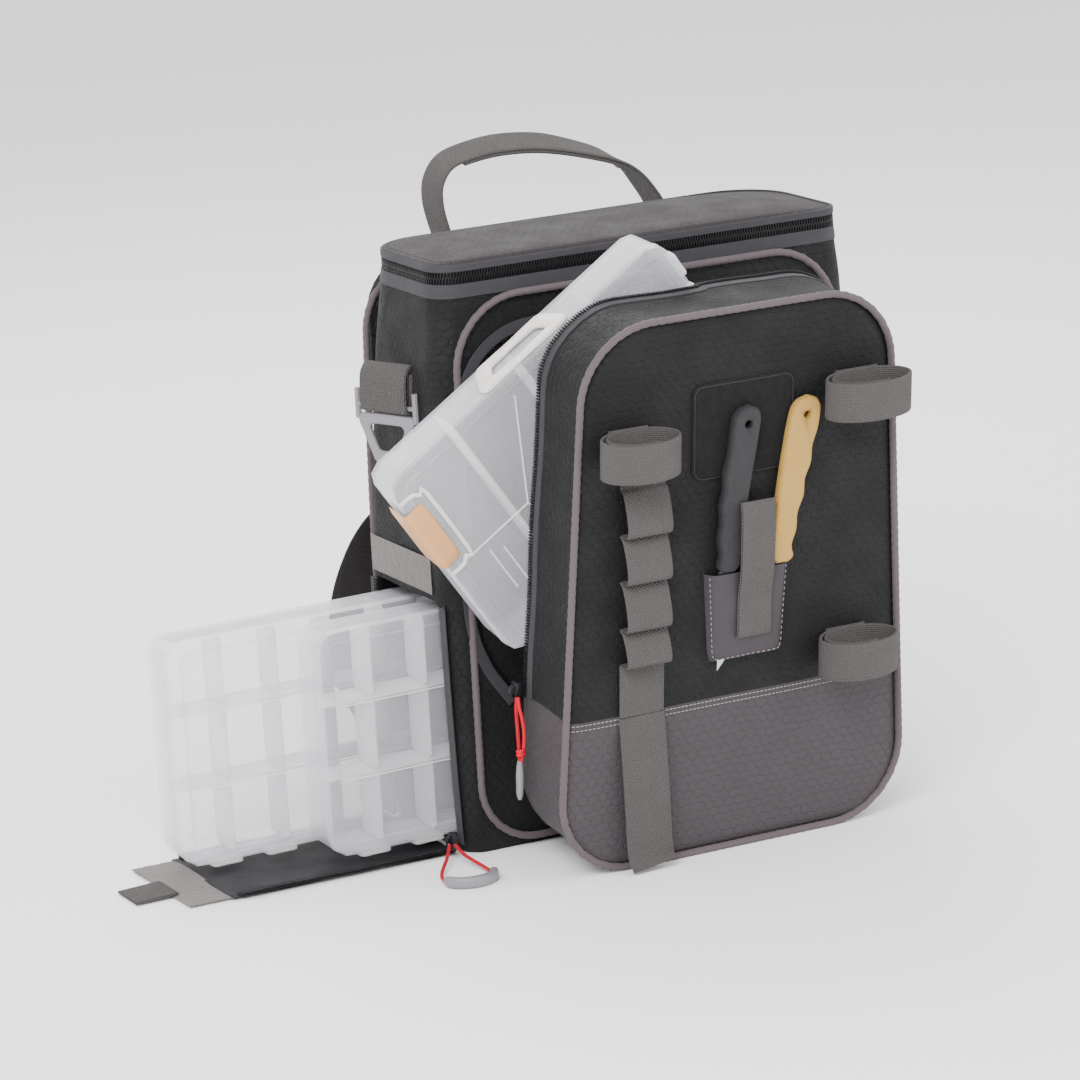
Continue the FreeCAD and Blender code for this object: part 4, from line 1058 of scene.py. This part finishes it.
# %% Tray makers
def box_outline(length, height, inset, corner=14.0, count=96):
    """A tray's outline, drawn in by an inset."""
    radius = max(corner - inset, 2.0)
    return rounded([(inset, inset), (length - inset, inset), (length - inset, height - inset),
                    (inset, height - inset)], radius, count)


def tray_shell(name, length, height, stations, where, material):
    """A thin shell: rounded rectangles at (inset, depth) stations, closed at both ends."""
    rings = [place(to_3d(box_outline(length, height, inset), "xz", depth), *where)
             for inset, depth in stations]
    return loft(name, rings, material, smooth=30)


def plate_in(where, low, high, material, name, soft=0.5):
    """A thin plate between two corners of a tray's frame, with its edges softened."""
    (x0, y0, z0), (x1, y1, z1) = low, high
    spans = np.array([x1 - x0, y1 - y0, z1 - z0])
    thin = int(np.argmin(spans))
    a, b = [k for k in range(3) if k != thin]
    corners = [(low[a], low[b]), (high[a], low[b]), (high[a], high[b]), (low[a], high[b])]
    flat = rounded(corners, min(3.0, spans[a] * 0.4, spans[b] * 0.4), 28)
    centre = flat.mean(0)
    rings = []
    for at, pull in ((low[thin], soft), (low[thin] + soft * 0.6, 0), (high[thin] - soft * 0.6, 0),
                     (high[thin], soft)):
        ring = np.empty((len(flat), 3))
        ring[:, [a, b]] = flat - unit(flat - centre) * pull
        ring[:, thin] = at
        rings.append(place(ring, *where))
    return loft(name, rings, material, smooth=50)


def ridge(name, where, points, radius):
    """A fine moulded ridge along a line on a tray's lid."""
    path = place(resample(np.asarray(points, float), 6.0), *where)
    return sweep(name, path, round_profile(radius, 8), where[0] @ [0, 1, 0], RIB)


def make_tray(name, where, height, thick, rows, columns, knuckles):
    """One tray, riding the body of its name: base, lid with a raised rim, dividers and hinge knuckles."""
    length, lid_depth = 275.0, 8.0
    base = tray_shell(name + "_base_shell", length, height, [
        (14, thick), (4.5, thick - 0.2), (2.4, thick - 2.2), (1.9, thick - 6), (0.8, lid_depth + 3),
        (0.2, lid_depth + 2), (0.2, lid_depth + 0.3), (1.6, lid_depth + 0.3), (2.4, lid_depth + 3),
        (3.5, thick - 6), (5.2, thick - 2.2), (14, thick - 1.6)], where, CLEAR)
    attach(base, name, f"{name}_base", slot="clear_plastic")
    lid_piece = tray_shell(name + "_lid_shell", length, height, [
        (22, 2.2), (11.5, 2.2), (10.2, 1.7), (9.4, 0.5), (8.4, 0.1), (2.6, 0.1), (0.9, 0.9), (0.1, 2.4),
        (0.0, lid_depth - 0.2), (1.3, lid_depth - 0.2), (1.5, 2.9), (3.2, 1.7), (8.4, 1.7), (9.4, 2.4),
        (10.6, 3.7), (22, 3.8)], where, CLEAR)
    attach(lid_piece, name, f"{name}_lid", slot="clear_plastic")
    plates = []
    for k, row in enumerate(rows):
        plates.append(plate_in(where, (3, lid_depth + 1, row), (length - 3, thick - 4, row + 1.6), RIB,
                               f"{name}_row{k}"))
    for k, column in enumerate(columns):
        for low, high in zip([3, *[r + 1.8 for r in rows]], [*[r - 0.2 for r in rows], height - 3]):
            plates.append(plate_in(where, (column, lid_depth + 2, low), (column + 1.6, thick - 4, high),
                                   RIB, f"{name}_column{k}"))
    attach(join(name + "_divider_plates", plates), name, f"{name}_dividers", slot="clear_plastic")
    knobs = []
    for k, start in enumerate(knuckles):
        knobs.append(plate_in(where, (start, 2.2, -3.6), (start + 26, 13.5, 0.6), RIB, f"{name}_knuckle{k}",
                              1.2))
        pin = np.linspace(start + 3, start + 23, 5)
        line_3d = place(np.stack([pin, np.full(5, 8.0), np.full(5, -2.6)], 1), *where)
        knobs.append(sweep(f"{name}_pin{k}", line_3d, round_profile(2.0, 10), where[0] @ [0, 1, 0], RIB))
    if knobs:
        attach(join(name + "_hinge_knuckles", knobs), name, f"{name}_latches", slot="clear_plastic")


# %% The three trays
for tray_name, origin in TRAYS.items():
    where = (SIDE_TRAY, origin)
    make_tray(tray_name, where, 176, 46, (58, 116), (46, 92, 138, 184, 230), (24, 70, 180, 226))
    ridges = [ridge(f"{tray_name}_ridge{k}", where, [(14, 1.9, h), (261, 1.9, h)], 0.6)
              for k, h in enumerate((59, 117))]
    attach(join(tray_name + "_lid_ridges", ridges), tray_name, slot="clear_plastic")
make_tray("wedge_tray", WEDGE, 184, 44, (), (68, 137, 206), ())
marks = [[(16, 2, 92), (78, 2, 92)], [(78, 2, 92), (118, 2, 168)], [(78, 2, 92), (118, 2, 16)],
         [(259, 2, 92), (197, 2, 92)], [(197, 2, 92), (157, 2, 168)], [(197, 2, 92), (157, 2, 16)],
         [(34, 2, 44), (34, 2, 84)], [(44, 2, 34), (44, 2, 78)]]
attach(join("wedge_lid_ridges", [ridge(f"wedge_ridge{k}", WEDGE, m, 0.7) for k, m in enumerate(marks)]),
       "wedge_tray", slot="clear_plastic")
notch = [(1, 0.4, 92), (12, 0.4, 92), (18, 0.4, 97), (22, 0.4, 97), (22, 0.4, 161), (18, 0.4, 161),
         (12, 0.4, 166), (1, 0.4, 166)]
attach(ridge("wedge_latch_well", WEDGE, smooth_path(notch, 2.0), 1.6), "wedge_tray", slot="clear_plastic")
knobs = [plate_in(WEDGE, (273, 4, h), (278.4, 14, h + 22), RIB, f"wedge_knuckle{h}", 1.2)
         for h in (20, 52, 110, 142)]
attach(join("wedge_hinge_knuckles", knobs), "wedge_tray", slot="clear_plastic")
print("trays made")

# %% [markdown]
# ## Latch and handle of the wedged tray
# The tan latch wraps round the tray's short side on to its lid. The handle is a frame ring with a
# long hole, which lies against the long side.

# %% Latch and handle
latch_section = smooth_path([(15, -0.6), (8, -1.2), (0, -1.7), (-2.3, 0.4), (-2.6, 6), (-2.2, 14),
                             (-2.0, 24)], 1.0)
stations = np.linspace(101, 157, 15)
bow = 1 - 0.10 * (np.abs(np.linspace(-1, 1, 15)) ** 4)
latch_grid = np.stack([to_3d(latch_section * [b, 1], "xy", h) for h, b in zip(stations, bow)])
latch_uv = np.stack([latch_grid[..., 2], latch_grid[..., 0]], -1)
latch = sheet("wedge_latch_moulding", place(latch_grid, *WEDGE), 1.6, TAN_PLASTIC, latch_uv, outward=-1)
attach(latch, "wedge_latch", "wedge_tray_latch", slot="tan_plastic")
outer_line = match(rounded([(98, 3), (188, 3), (176, 33), (110, 33)], [5, 5, 8, 8], 96), (-1, -0.5))
inner_line = match(rounded([(114, 10), (172, 10), (164, 25), (122, 25)], [4, 4, 5, 5], 96), (-1, -0.5))


def on_side(flat, depth):
    """Handle outline points on the tray's long side."""
    return place(np.stack([flat[:, 0], flat[:, 1], np.full(len(flat), 184.1 + depth)], 1), *WEDGE)


attach(frame_ring("wedge_handle_moulding", outer_line, inner_line, (0, 4), 1.1, BEIGE_PLASTIC, on_side),
       "wedge_handle", "wedge_tray_handle", slot="tan_plastic")
print("latch and handle made")

# %% [markdown]
# ## Front pocket
# The pocket's face is a grid: each row is a height, and each row's half-width comes from the
# rounded outline. The face is flat in its middle and rolls back at its edges. A double row of
# light stitches marks the seam between the black cloth and the grey cloth below.

# %% Pocket face
FOOT_W, TOP_W, POCKET_H, CORNER, SEAM = 148.0, 128.0, 421.0, 58.0, 122.0


def pocket_half(z, inset=0.0):
    """Half-width of the pocket's face at heights z, with its round corners."""
    z = np.asarray(z, float)
    straight = FOOT_W - (FOOT_W - TOP_W) * z / POCKET_H - inset
    radius = CORNER - inset
    low = np.clip(radius + inset - z, 0, radius)
    high = np.clip(z - (POCKET_H - inset - radius), 0, radius)
    cut = radius - np.sqrt(np.clip(radius ** 2 - np.maximum(low, high) ** 2, 0, None))
    return straight - cut


def pocket_surface(z_values, columns=91):
    """Face points in the pocket's frame: depth rolls back near the edges and dimples gently."""
    u = np.sin(np.linspace(-1, 1, columns) * math.pi / 2 * 0.94) / math.sin(math.pi / 2 * 0.94)
    z = np.asarray(z_values, float)[:, None] + 0 * u
    x = u[None] * pocket_half(z)
    gap = np.minimum(np.minimum(pocket_half(z) - np.abs(x), POCKET_H - z), z)
    roll = 4.5 * np.exp(-np.clip(gap, 0, None) / 5.0)
    belly = -1.2 * np.sin(math.pi * np.clip(z / POCKET_H, 0, 1)) * (1 - u[None] ** 2)
    dimples = 0.45 * np.sin(x / 21 + 1.3 * np.sin(z / 33)) * np.sin(z / 27 + 0.9 * np.sin(x / 37))
    return np.stack([x, 0.6 + roll + belly + dimples * np.clip(gap / 30, 0, 1), z], -1)


low_rows = np.concatenate([[0.05], CORNER * (1 - np.cos(np.linspace(0.12, math.pi / 2, 14))),
                           np.linspace(62, SEAM, 16)])
top_rows = POCKET_H - CORNER * (1 - np.cos(np.linspace(math.pi / 2, 0.12, 14)))
high_rows = np.concatenate([np.linspace(SEAM, POCKET_H - CORNER - 4, 60), top_rows, [POCKET_H - 0.05]])
for tag, z_rows, cloth, cloth_slot in (("lower", low_rows, MAUVE, "grey_ripstop"),
                                       ("upper", high_rows, BLACK, "black_ripstop")):
    grid = pocket_surface(z_rows)
    face = sheet(f"pocket_{tag}_cloth", place(grid, *POCKET), 2.2, cloth, grid[..., [0, 2]], outward=-1)
    attach(face, "pocket", f"pocket_{tag}_panel", slot=cloth_slot)
seam_bits = []
for offset in (-2.2, -6.0):
    seam_line = pocket_surface([SEAM + offset])[0][3:-3]
    seam_bits.append(stitches(f"seam_{offset}", place(seam_line - [0, 0.3, 0], *POCKET), (0, 0, 1)))
attach(join("pocket_seam_stitches", seam_bits), "pocket", slot="grey_ripstop")
print("pocket face made")

# %% [markdown]
# ## Pocket gusset, piping and zip
# The gusset is the pocket's side wall. Above the zip's end it stops at a free edge with tape and
# coil. Below, it runs back to the bag and stretches between the two when the pocket leans out, so
# that part is blended from the bag to the pocket.

# %% Gusset
pocket_line = rounded([(-FOOT_W, 0), (FOOT_W, 0), (TOP_W, POCKET_H), (-TOP_W, POCKET_H)], CORNER, step=3.0)
start = int(np.argmin(np.abs(pocket_line[:, 1] - 124) + 500 * (pocket_line[:, 0] > 0)))
pocket_line = np.roll(pocket_line, -start, 0)
turning = int(np.argmin(np.abs(pocket_line[:, 1] - 124) + 500 * (pocket_line[:, 0] < 0)))
pieces = [pocket_line[:turning + 1], np.concatenate([pocket_line[turning:], pocket_line[:1]])]
foot_line, arch_line = sorted(pieces, key=lambda p: p[:, 1].mean())
to_wedge = np.linalg.inv(WEDGE[0])


def wall_grid(line_points, depths, pull):
    """Gusset points: the outline pushed back to each depth and drawn in a little between its edges."""
    centre = np.array([0, POCKET_H / 2])
    inward_step = unit(centre - line_points)
    wave = 0.5 * np.sin(line_points[:, :1] / 15 + line_points[:, 1:] / 19)
    rows_list = []
    for depth, share in depths:
        sag = pull * math.sin(math.pi * share)
        rows_list.append(to_3d(line_points + inward_step * (0.4 + sag + wave), "xz", depth))
    return np.stack(rows_list)


arch_depths = [(d, (d - 4) / 67) for d in np.linspace(4, 66, 22)]
arch = wall_grid(arch_line, arch_depths, 1.5)
world = place(arch, *POCKET)
local = (world - WEDGE[1]) @ to_wedge.T
inside_tray = (local[..., 0] > -3) & (local[..., 0] < 277) & (local[..., 2] > -3) & (local[..., 1] > -2)
world = world + (inside_tray * np.clip(-2.0 - local[..., 1], -60, 0))[..., None] * WEDGE[0][:, 1]
arch_uv = np.stack(np.broadcast_arrays(run_along(arch_line)[None],
                                       np.array([d for d, _ in arch_depths])[:, None]), -1)
gusset = sheet("gusset_upper_cloth", world, 1.6, BLACK, arch_uv, outward=-1, edge_round=False)
attach(gusset, "pocket", "pocket_gusset", slot="grey_ripstop")
edge_world = world[-1]
outwards = place(to_3d(unit(arch_line - [0, POCKET_H / 2]), "xz", 0.0), POCKET[0], (0, 0, 0))
zip_hint = POCKET[0] @ [0, -1, 0]
zip_out = frames(edge_world, zip_hint)[2]
zip_half("pocket_zip", edge_world + 1.3 * outwards, zip_hint, 9, float(np.sign((zip_out * outwards).sum())),
         "pocket", nodes=("pocket_zip_half",))
foot = wall_grid(foot_line, [(d, d / 96) for d in np.linspace(4, 96, 26)], 3.0)
narrow = 1 - 0.11 * np.clip((foot[..., 1] - 60) / 36, 0, 1) ** 1.5
foot[..., 0] *= narrow
foot_world = place(foot, *POCKET)
foot_world[..., 1] = np.minimum(foot_world[..., 1], FRONT + 1.0)
foot_uv = np.stack(np.broadcast_arrays(run_along(foot_line)[None], np.linspace(4, 96, 26)[:, None]), -1)
foot_wall = sheet("gusset_lower_cloth", foot_world, 1.6, MAUVE, foot_uv, outward=-1, edge_round=False)
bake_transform(foot_wall)
cord_corners = [(-FOOT_W - 1, -1), (FOOT_W + 1, -1), (TOP_W + 1, POCKET_H + 1), (-TOP_W - 1, POCKET_H + 1)]
cord_line = rounded(cord_corners, CORNER + 1, step=1.4)
cord_path = place(to_3d(cord_line, "xz", 1.6), *POCKET)
attach(rope("pocket_piping_cord", cord_path, 2.8, POCKET[0] @ [0, 1, 0], PIPING), "pocket", "pocket_piping",
       slot="piping")
print("gusset, piping and pocket zip made")

# %% [markdown]
# ## Webbing on the pocket
# One strap runs down the face in a column of stitched loops and ends in a loose tail. Three
# hook-and-loop straps are rolled up. A roll is a strap carried along a spiral whose radius shrinks
# as it turns.

# %% Webbing column and tail
POCKET_ACROSS = POCKET[0] @ [1, 0, 0]
COLUMN_STRAP = strap_profile(37.5, 2.0)
column_x = -82.0
folds = [300, 263, 227, 190, 162]
line_points = [(-1.4, 314)]
for high, low in zip(folds, folds[1:]):
    span = high - low
    line_points += [(-1.8, high), (-6.0, high - 0.08 * span), (-11.0, high - 0.40 * span),
                    (-14.0, low + 0.26 * span), (-12.5, low + 0.08 * span), (-6.0, low + 0.04 * span),
                    (-1.8, low + 0.03 * span)]
line_points += [(-1.6, 154), (-1.6, 138), (-1.6, 121.5)]
flat = smooth_path(line_points, 1.5)
column_path = place(np.stack([np.full(len(flat), column_x), flat[:, 0] - 0.8, flat[:, 1]], 1), *POCKET)
attach(sweep("column_webbing", column_path, COLUMN_STRAP, POCKET_ACROSS, WEBBING), "pocket",
       "daisy_webbing", slot="webbing")
bars = []
for fold in folds:
    bar_line = np.stack([np.linspace(column_x - 17, column_x + 17, 12), np.full(12, -3.6),
                         np.full(12, fold + 2.0)], 1)
    bars.append(stitches(f"bar_{fold}", place(bar_line, *POCKET), (0, 0, 1), GREY_THREAD, 2.9))
attach(join("column_bar_tacks", bars), "pocket", slot="webbing")
tail = smooth_path([(column_x, -2.2, 120.8), (column_x + 0.5, -6, 92), (column_x + 2, -9, 50),
                    (column_x + 4, -10, 14), (column_x + 5.5, -15, 3)], 2)
attach(sweep("loose_tail_webbing", place(tail, *POCKET), COLUMN_STRAP, POCKET_ACROSS + [0.0, -0.06, 0],
             WEBBING), "strap_end", "strap_end", slot="webbing")

# %% Rolled straps
rolls = []
for k, (x, z, wide, deep) in enumerate([(-94, 331, 32, 19), (99, 348, 36, 18), (94, 145, 33, 19)]):
    angle = np.radians(np.linspace(90, 90 + 560, 110))
    shrink_by = np.interp(angle, [angle[0], angle[0] + 2 * math.pi, angle[-1]], [1.0, 0.90, 0.74])
    spiral = np.stack([x + wide * shrink_by * np.cos(angle), -deep - 3.2 + deep * shrink_by * np.sin(angle),
                       np.full(110, z) + 0.6 * np.sin(angle)], 1)
    rolls.append(sweep(f"roll_{k}", place(spiral, *POCKET), strap_profile(30, 2.6), POCKET[0] @ [0, 0, 1],
                       WEBBING))
    anchor_x = np.linspace(x - wide * 0.5, x + wide * 0.5, 10)
    anchor_line = np.stack([anchor_x, np.full(10, -1.6), np.full(10, z)], 1)
    rolls.append(sweep(f"roll_base_{k}", place(anchor_line, *POCKET), strap_profile(30, 2.0),
                       POCKET[0] @ [0, 0, 1], WEBBING))
attach(join("rolled_strap_webbing", rolls), "pocket", "rolled_straps", slot="webbing")
print("column and rolls made")

# %% [markdown]
# ## Patch, sheath and retaining strap
# The black pile patch is a rounded plate with a fuzzy face. The sheath is a tapered pocket of
# coated cloth, stitched round its edge, with its mouth open for two knives. A strap of webbing is
# sewn down over the knives to hold them.


# %% Patch and sheath
def soft_plate(name, corners, radius, depths, where, material, count=120, pull=1.2):
    """A flat rounded plate with softened edges, standing between two depths."""
    flat_line = rounded(corners, radius, count)
    centre = flat_line.mean(0)
    low, high = depths
    rings = [(0.0, low), (0.0, (low + high) / 2), (pull * 0.5, high + 0.2 * (low - high)), (pull, high),
             (pull + 3, high)]
    carried = [place(to_3d(flat_line - unit(flat_line - centre) * inset, "xz", depth), *where)
               for inset, depth in rings]
    return loft(name, carried, material)


patch_corners = [(-40, 295), (46, 295), (46, 369), (-40, 369)]
patch = soft_plate("pocket_patch_edge", patch_corners, 8, (-0.2, -1.6), POCKET, BLACK)
x, z = np.meshgrid(np.linspace(-37, 43, 90), np.linspace(298, 366, 78))
pile_grid = pile(np.stack([x, np.full_like(x, -1.9), z], -1), 0.4)
pile_face = sheet("pocket_patch_pile", place(pile_grid, *POCKET), 0.5, BLACK_PILE, np.stack([x, z], -1),
                  outward=-1)
attach(join("pocket_patch_cloth", [patch, pile_face]), "pocket", "pocket_loop_patch", slot="black_loop")
sewn_line = rounded([(-38.5, 296.5), (44.5, 296.5), (44.5, 367.5), (-38.5, 367.5)], 7, step=2)
attach(stitches("patch_stitches", place(to_3d(sewn_line, "xz", -2.2), *POCKET), POCKET[0] @ [0, 1, 0],
                GREY_THREAD, 2.8, closed=True), "pocket", slot="black_loop")
sheath_rows = np.linspace(222, 152, 24)
sheath_u = np.linspace(-1, 1, 33)
half_w = np.interp(sheath_rows, [152, 160, 222], [29.5, 31.5, 35.0])[:, None]
xs = 5.5 + half_w * sheath_u
plump = np.interp(sheath_rows, [152, 154, 222], [3.0, 6.4, 8.6])[:, None]
plump = plump * np.clip(1 - np.abs(sheath_u) ** 12, 0, 1)
groove = 0.8 * np.exp(-((xs - 9) / 5.0) ** 2)
sheath_grid = np.stack([xs, -1.0 - plump + groove, sheath_rows[:, None] + 0 * xs], -1)
sheath = sheet("sheath_cloth", place(sheath_grid, *POCKET), 1.4, SHEATH, sheath_grid[..., [0, 2]])
attach(sheath, "pocket", "tool_sheath", slot="sheath")
edge_ring = np.concatenate([sheath_grid[1:-1, 1], sheath_grid[-2, 1:-1], sheath_grid[-2:0:-1, -2]])
attach(stitches("sheath_stitches", place(edge_ring + [0, -0.9, 0], *POCKET), POCKET[0] @ [0, 1, 0], THREAD,
                4.4), "pocket", slot="sheath")
keeper = smooth_path([(9, -9.0, 170), (9, -10.4, 176), (9, -10.6, 200), (9, -13.8, 219), (9, -14.8, 240),
                      (9, -14.9, 262), (9, -14.2, 273), (9, -12.6, 277)], 2)
attach(sweep("retainer_webbing", place(keeper, *POCKET), strap_profile(29, 2.0), POCKET_ACROSS, WEBBING),
       "pocket", "retainer_strap", slot="webbing")
print("patch, sheath and retainer made")

# %% [markdown]
# ## Knives
# Each handle is lofted from its own outline: the outline is drawn in near the two faces, so the
# edges are round. Finger grooves are waves in the outline. The lanyard hole is cut with a cylinder.
# The steel blades keep their CAD shape, as only a tip shows.


# %% Knives
def knife(name, foot_x, lean, curve, widths, material, node):
    """A grooved handle: a centre line that curves aside, and rounded faces. widths holds two lists of
    half-widths from its foot to its end, one for each side, which are blurred a little."""
    length = 128
    rotation = POCKET[0] @ turn("Y", lean)
    origin = place([[foot_x, -4.5, 223]], *POCKET)[0]
    t = np.linspace(0, 1, 56)
    blur = [0.1, 0.2, 0.4, 0.2, 0.1]
    right, left = [np.convolve(np.pad(np.interp(t, np.linspace(0, 1, len(w)), w), 2, "edge"), blur, "valid")
                   for w in widths]
    cap = np.sqrt(np.clip(1 - np.clip((t - 0.90) / 0.10, 0, 1) ** 2, 0, 1))
    heel = np.sqrt(np.clip(1 - np.clip((0.05 - t) / 0.05, 0, 1) ** 2, 0.2, 1))
    middle_x = curve * t ** 1.5
    outline = np.concatenate([np.stack([middle_x + right * cap * heel, length * t], 1),
                              np.stack([middle_x - left * cap * heel, length * t], 1)[::-1]])
    outline = resample(outline, 0, True, 150)
    centre = np.stack([np.interp(outline[:, 1], length * t, middle_x), np.clip(outline[:, 1], 8, 120)], 1)
    stations = [(-7.0, 3.6), (-6.9, 2.2), (-6.0, 0.9), (-4.4, 0.1), (-0.6, 0.1), (1.0, 0.9), (1.9, 2.2),
                (2.0, 3.6)]
    rings = [place(to_3d(outline - unit(outline - centre) * inset, "xz", depth), rotation, origin)
             for depth, inset in stations]
    handle_piece = loft(name, rings, material, smooth=60)
    cutter = sweep("cutter", place([(curve * 0.9, y, 114) for y in (-14, -8, 0, 10)], rotation, origin),
                   round_profile(3.4, 20), (1, 0, 0), material)
    hole = handle_piece.modifiers.new("lanyard hole", "BOOLEAN")
    hole.object, hole.solver = cutter, "EXACT"
    graph = bpy.context.evaluated_depsgraph_get()
    shape = bpy.data.meshes.new_from_object(handle_piece.evaluated_get(graph))
    handle_piece.modifiers.clear()
    handle_piece.data = shape
    bpy.data.objects.remove(cutter)
    attach(handle_piece, node, f"{node}_handle",
           slot="knife_black" if node == "black_knife" else "knife_tan")


plain_side = [9, 9.5, 10, 10, 10, 10.5, 11, 11.5, 12, 12, 12]
knife("black_knife_grip", -12, 2, 11, (plain_side, [12, 8, 12, 10.2, 13.2, 11.2, 13.5, 11.2, 11.5, 12, 12]),
      KNIFE_BLACK, "black_knife")
knife("tan_knife_grip", 32, 2, 18, ([13, 7.5, 11, 9.2, 13, 10.8, 14.2, 11.8, 14.0, 13, 12], plain_side),
      KNIFE_TAN, "tan_knife")
for node in ("black_knife_blade", "tan_knife_blade"):
    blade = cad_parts[node]
    blade.data.materials.clear()
    blade.data.materials.append(STEEL)
print("knives made")

# %% [markdown]
# ## Pocket pull
# The pocket's slider hangs at the end of its zip with a doubled red cord and a grey moulded tip.

# %% Pocket pull
px, py, pz = -FOOT_W - 2.5, 65.0, 130.0
pull_axes = np.array([(0, 0, 1), (0, 1, 0), (-1, 0, 0)], float) @ POCKET[0].T
pocket_slide = slider("pocket_slider_metal", place([[px - 0.5, py, pz]], *POCKET)[0], pull_axes, 14, 9.5)
attach(pocket_slide, "pocket_slider", "pocket_slider", slot="slider_metal")
pull_route = place([(px - 3.6, py - 6, pz - 3), (px - 5.5, py - 8, pz - 11), (px - 5, py - 9, pz - 24),
                    (px - 4.2, py - 10, pz - 40), (px - 4, py - 11, pz - 55)], *POCKET)
pull_cord = cord_curve("pocket_pull_cord_loop", pull_route, CORD_RADIUS, RED)
tip_line = place([(px - 4, py - 11, pz - 52), (px - 4, py - 11, pz - 58), (px - 4.2, py - 11.4, pz - 70),
                  (px - 4.4, py - 11.6, pz - 83)], *POCKET)
tip_path = smooth_path(tip_line, 1.5)
tip_size = np.interp(np.arange(len(tip_path)), [0, 3, 8, len(tip_path) - 4, len(tip_path) - 1],
                     [0.55, 0.8, 1.0, 0.9, 0.5])
tip = sweep("pocket_pull_tip_rubber", tip_path, pad_profile(7, 5.2, 16), (0, 1, 0), GREY_PLASTIC,
            swell=tip_size[:, None, None])
attach(tip, "pocket_pull", "pocket_pull_tip", slot="grey_plastic")
beside = resample(pull_route, 1.5)
swing = np.sin(np.linspace(0, math.pi, len(beside)))[:, None] * [3.2, -2.4, 0]
strand = sweep("pull_second_strand", beside + swing + [0.6, -0.4, 0], round_profile(CORD_RADIUS, 10),
               (0, 1, 0), RED)
knot_at = pull_route[3] + [0.8, -1.0, -6]
knot_turn = np.linspace(0, 4 * math.pi, 60)[:, None]
knot_line = knot_at + np.concatenate([2.3 * np.cos(knot_turn), 2.3 * np.sin(knot_turn),
                                      knot_turn * 0.42 - 2.5], 1)
knot = sweep("pull_knot", knot_line, round_profile(1.5, 10), (0, 0, 1), RED)
extra_red = attach(join("pull_loop_and_knot", [strand, knot]), "pocket_pull", slot="red_cord")
attach(pull_cord, "pocket_pull", "pocket_pull_cord", slot="red_cord")
print("pocket pull made")

# %% [markdown]
# ## Studio
# The bag stands on a pale floor under soft light: a broad lamp from the upper left, a fill from
# the right, and a light from above and behind that draws the edges.

# %% Floor and lights
FLOOR_HALF, FLOOR_Z = 6000.0, -0.3
floor_corners = [(a * FLOOR_HALF, b * FLOOR_HALF, FLOOR_Z) for a, b in ((-1, -1), (1, -1), (1, 1), (-1, 1))]
floor = add_piece("floor", floor_corners, [[0, 1, 2, 3]],
                  finish("floor_paper", srgb(252, 252, 253), 0.9, "grain", 0.01, 5, 0.0))
world = bpy.data.worlds.new("studio")
bpy.context.scene.world = world
world.use_nodes = True
world.node_tree.nodes["Background"].inputs["Color"].default_value = (1, 1, 1, 1)
world.node_tree.nodes["Background"].inputs["Strength"].default_value = 1.45


def lamp(name, spot_m, aim_m, size_m, watts):
    """A square soft light aimed at a point."""
    light = bpy.data.lights.new(name, "AREA")
    light.size = size_m
    light.energy = watts
    holder = bpy.data.objects.new(name, light)
    bpy.context.collection.objects.link(holder)
    holder.location = spot_m
    holder.rotation_euler = (Vector(aim_m) - Vector(spot_m)).to_track_quat("-Z", "Y").to_euler()


lamp("key", (-1.6, -1.8, 2.0), (0, 0, 0.25), 1.3, 95)
lamp("fill", (1.9, -1.6, 1.2), (0, 0, 0.25), 1.8, 30)
lamp("rim", (0.3, 1.6, 2.2), (0, 0, 0.3), 1.4, 50)
print("studio ready")
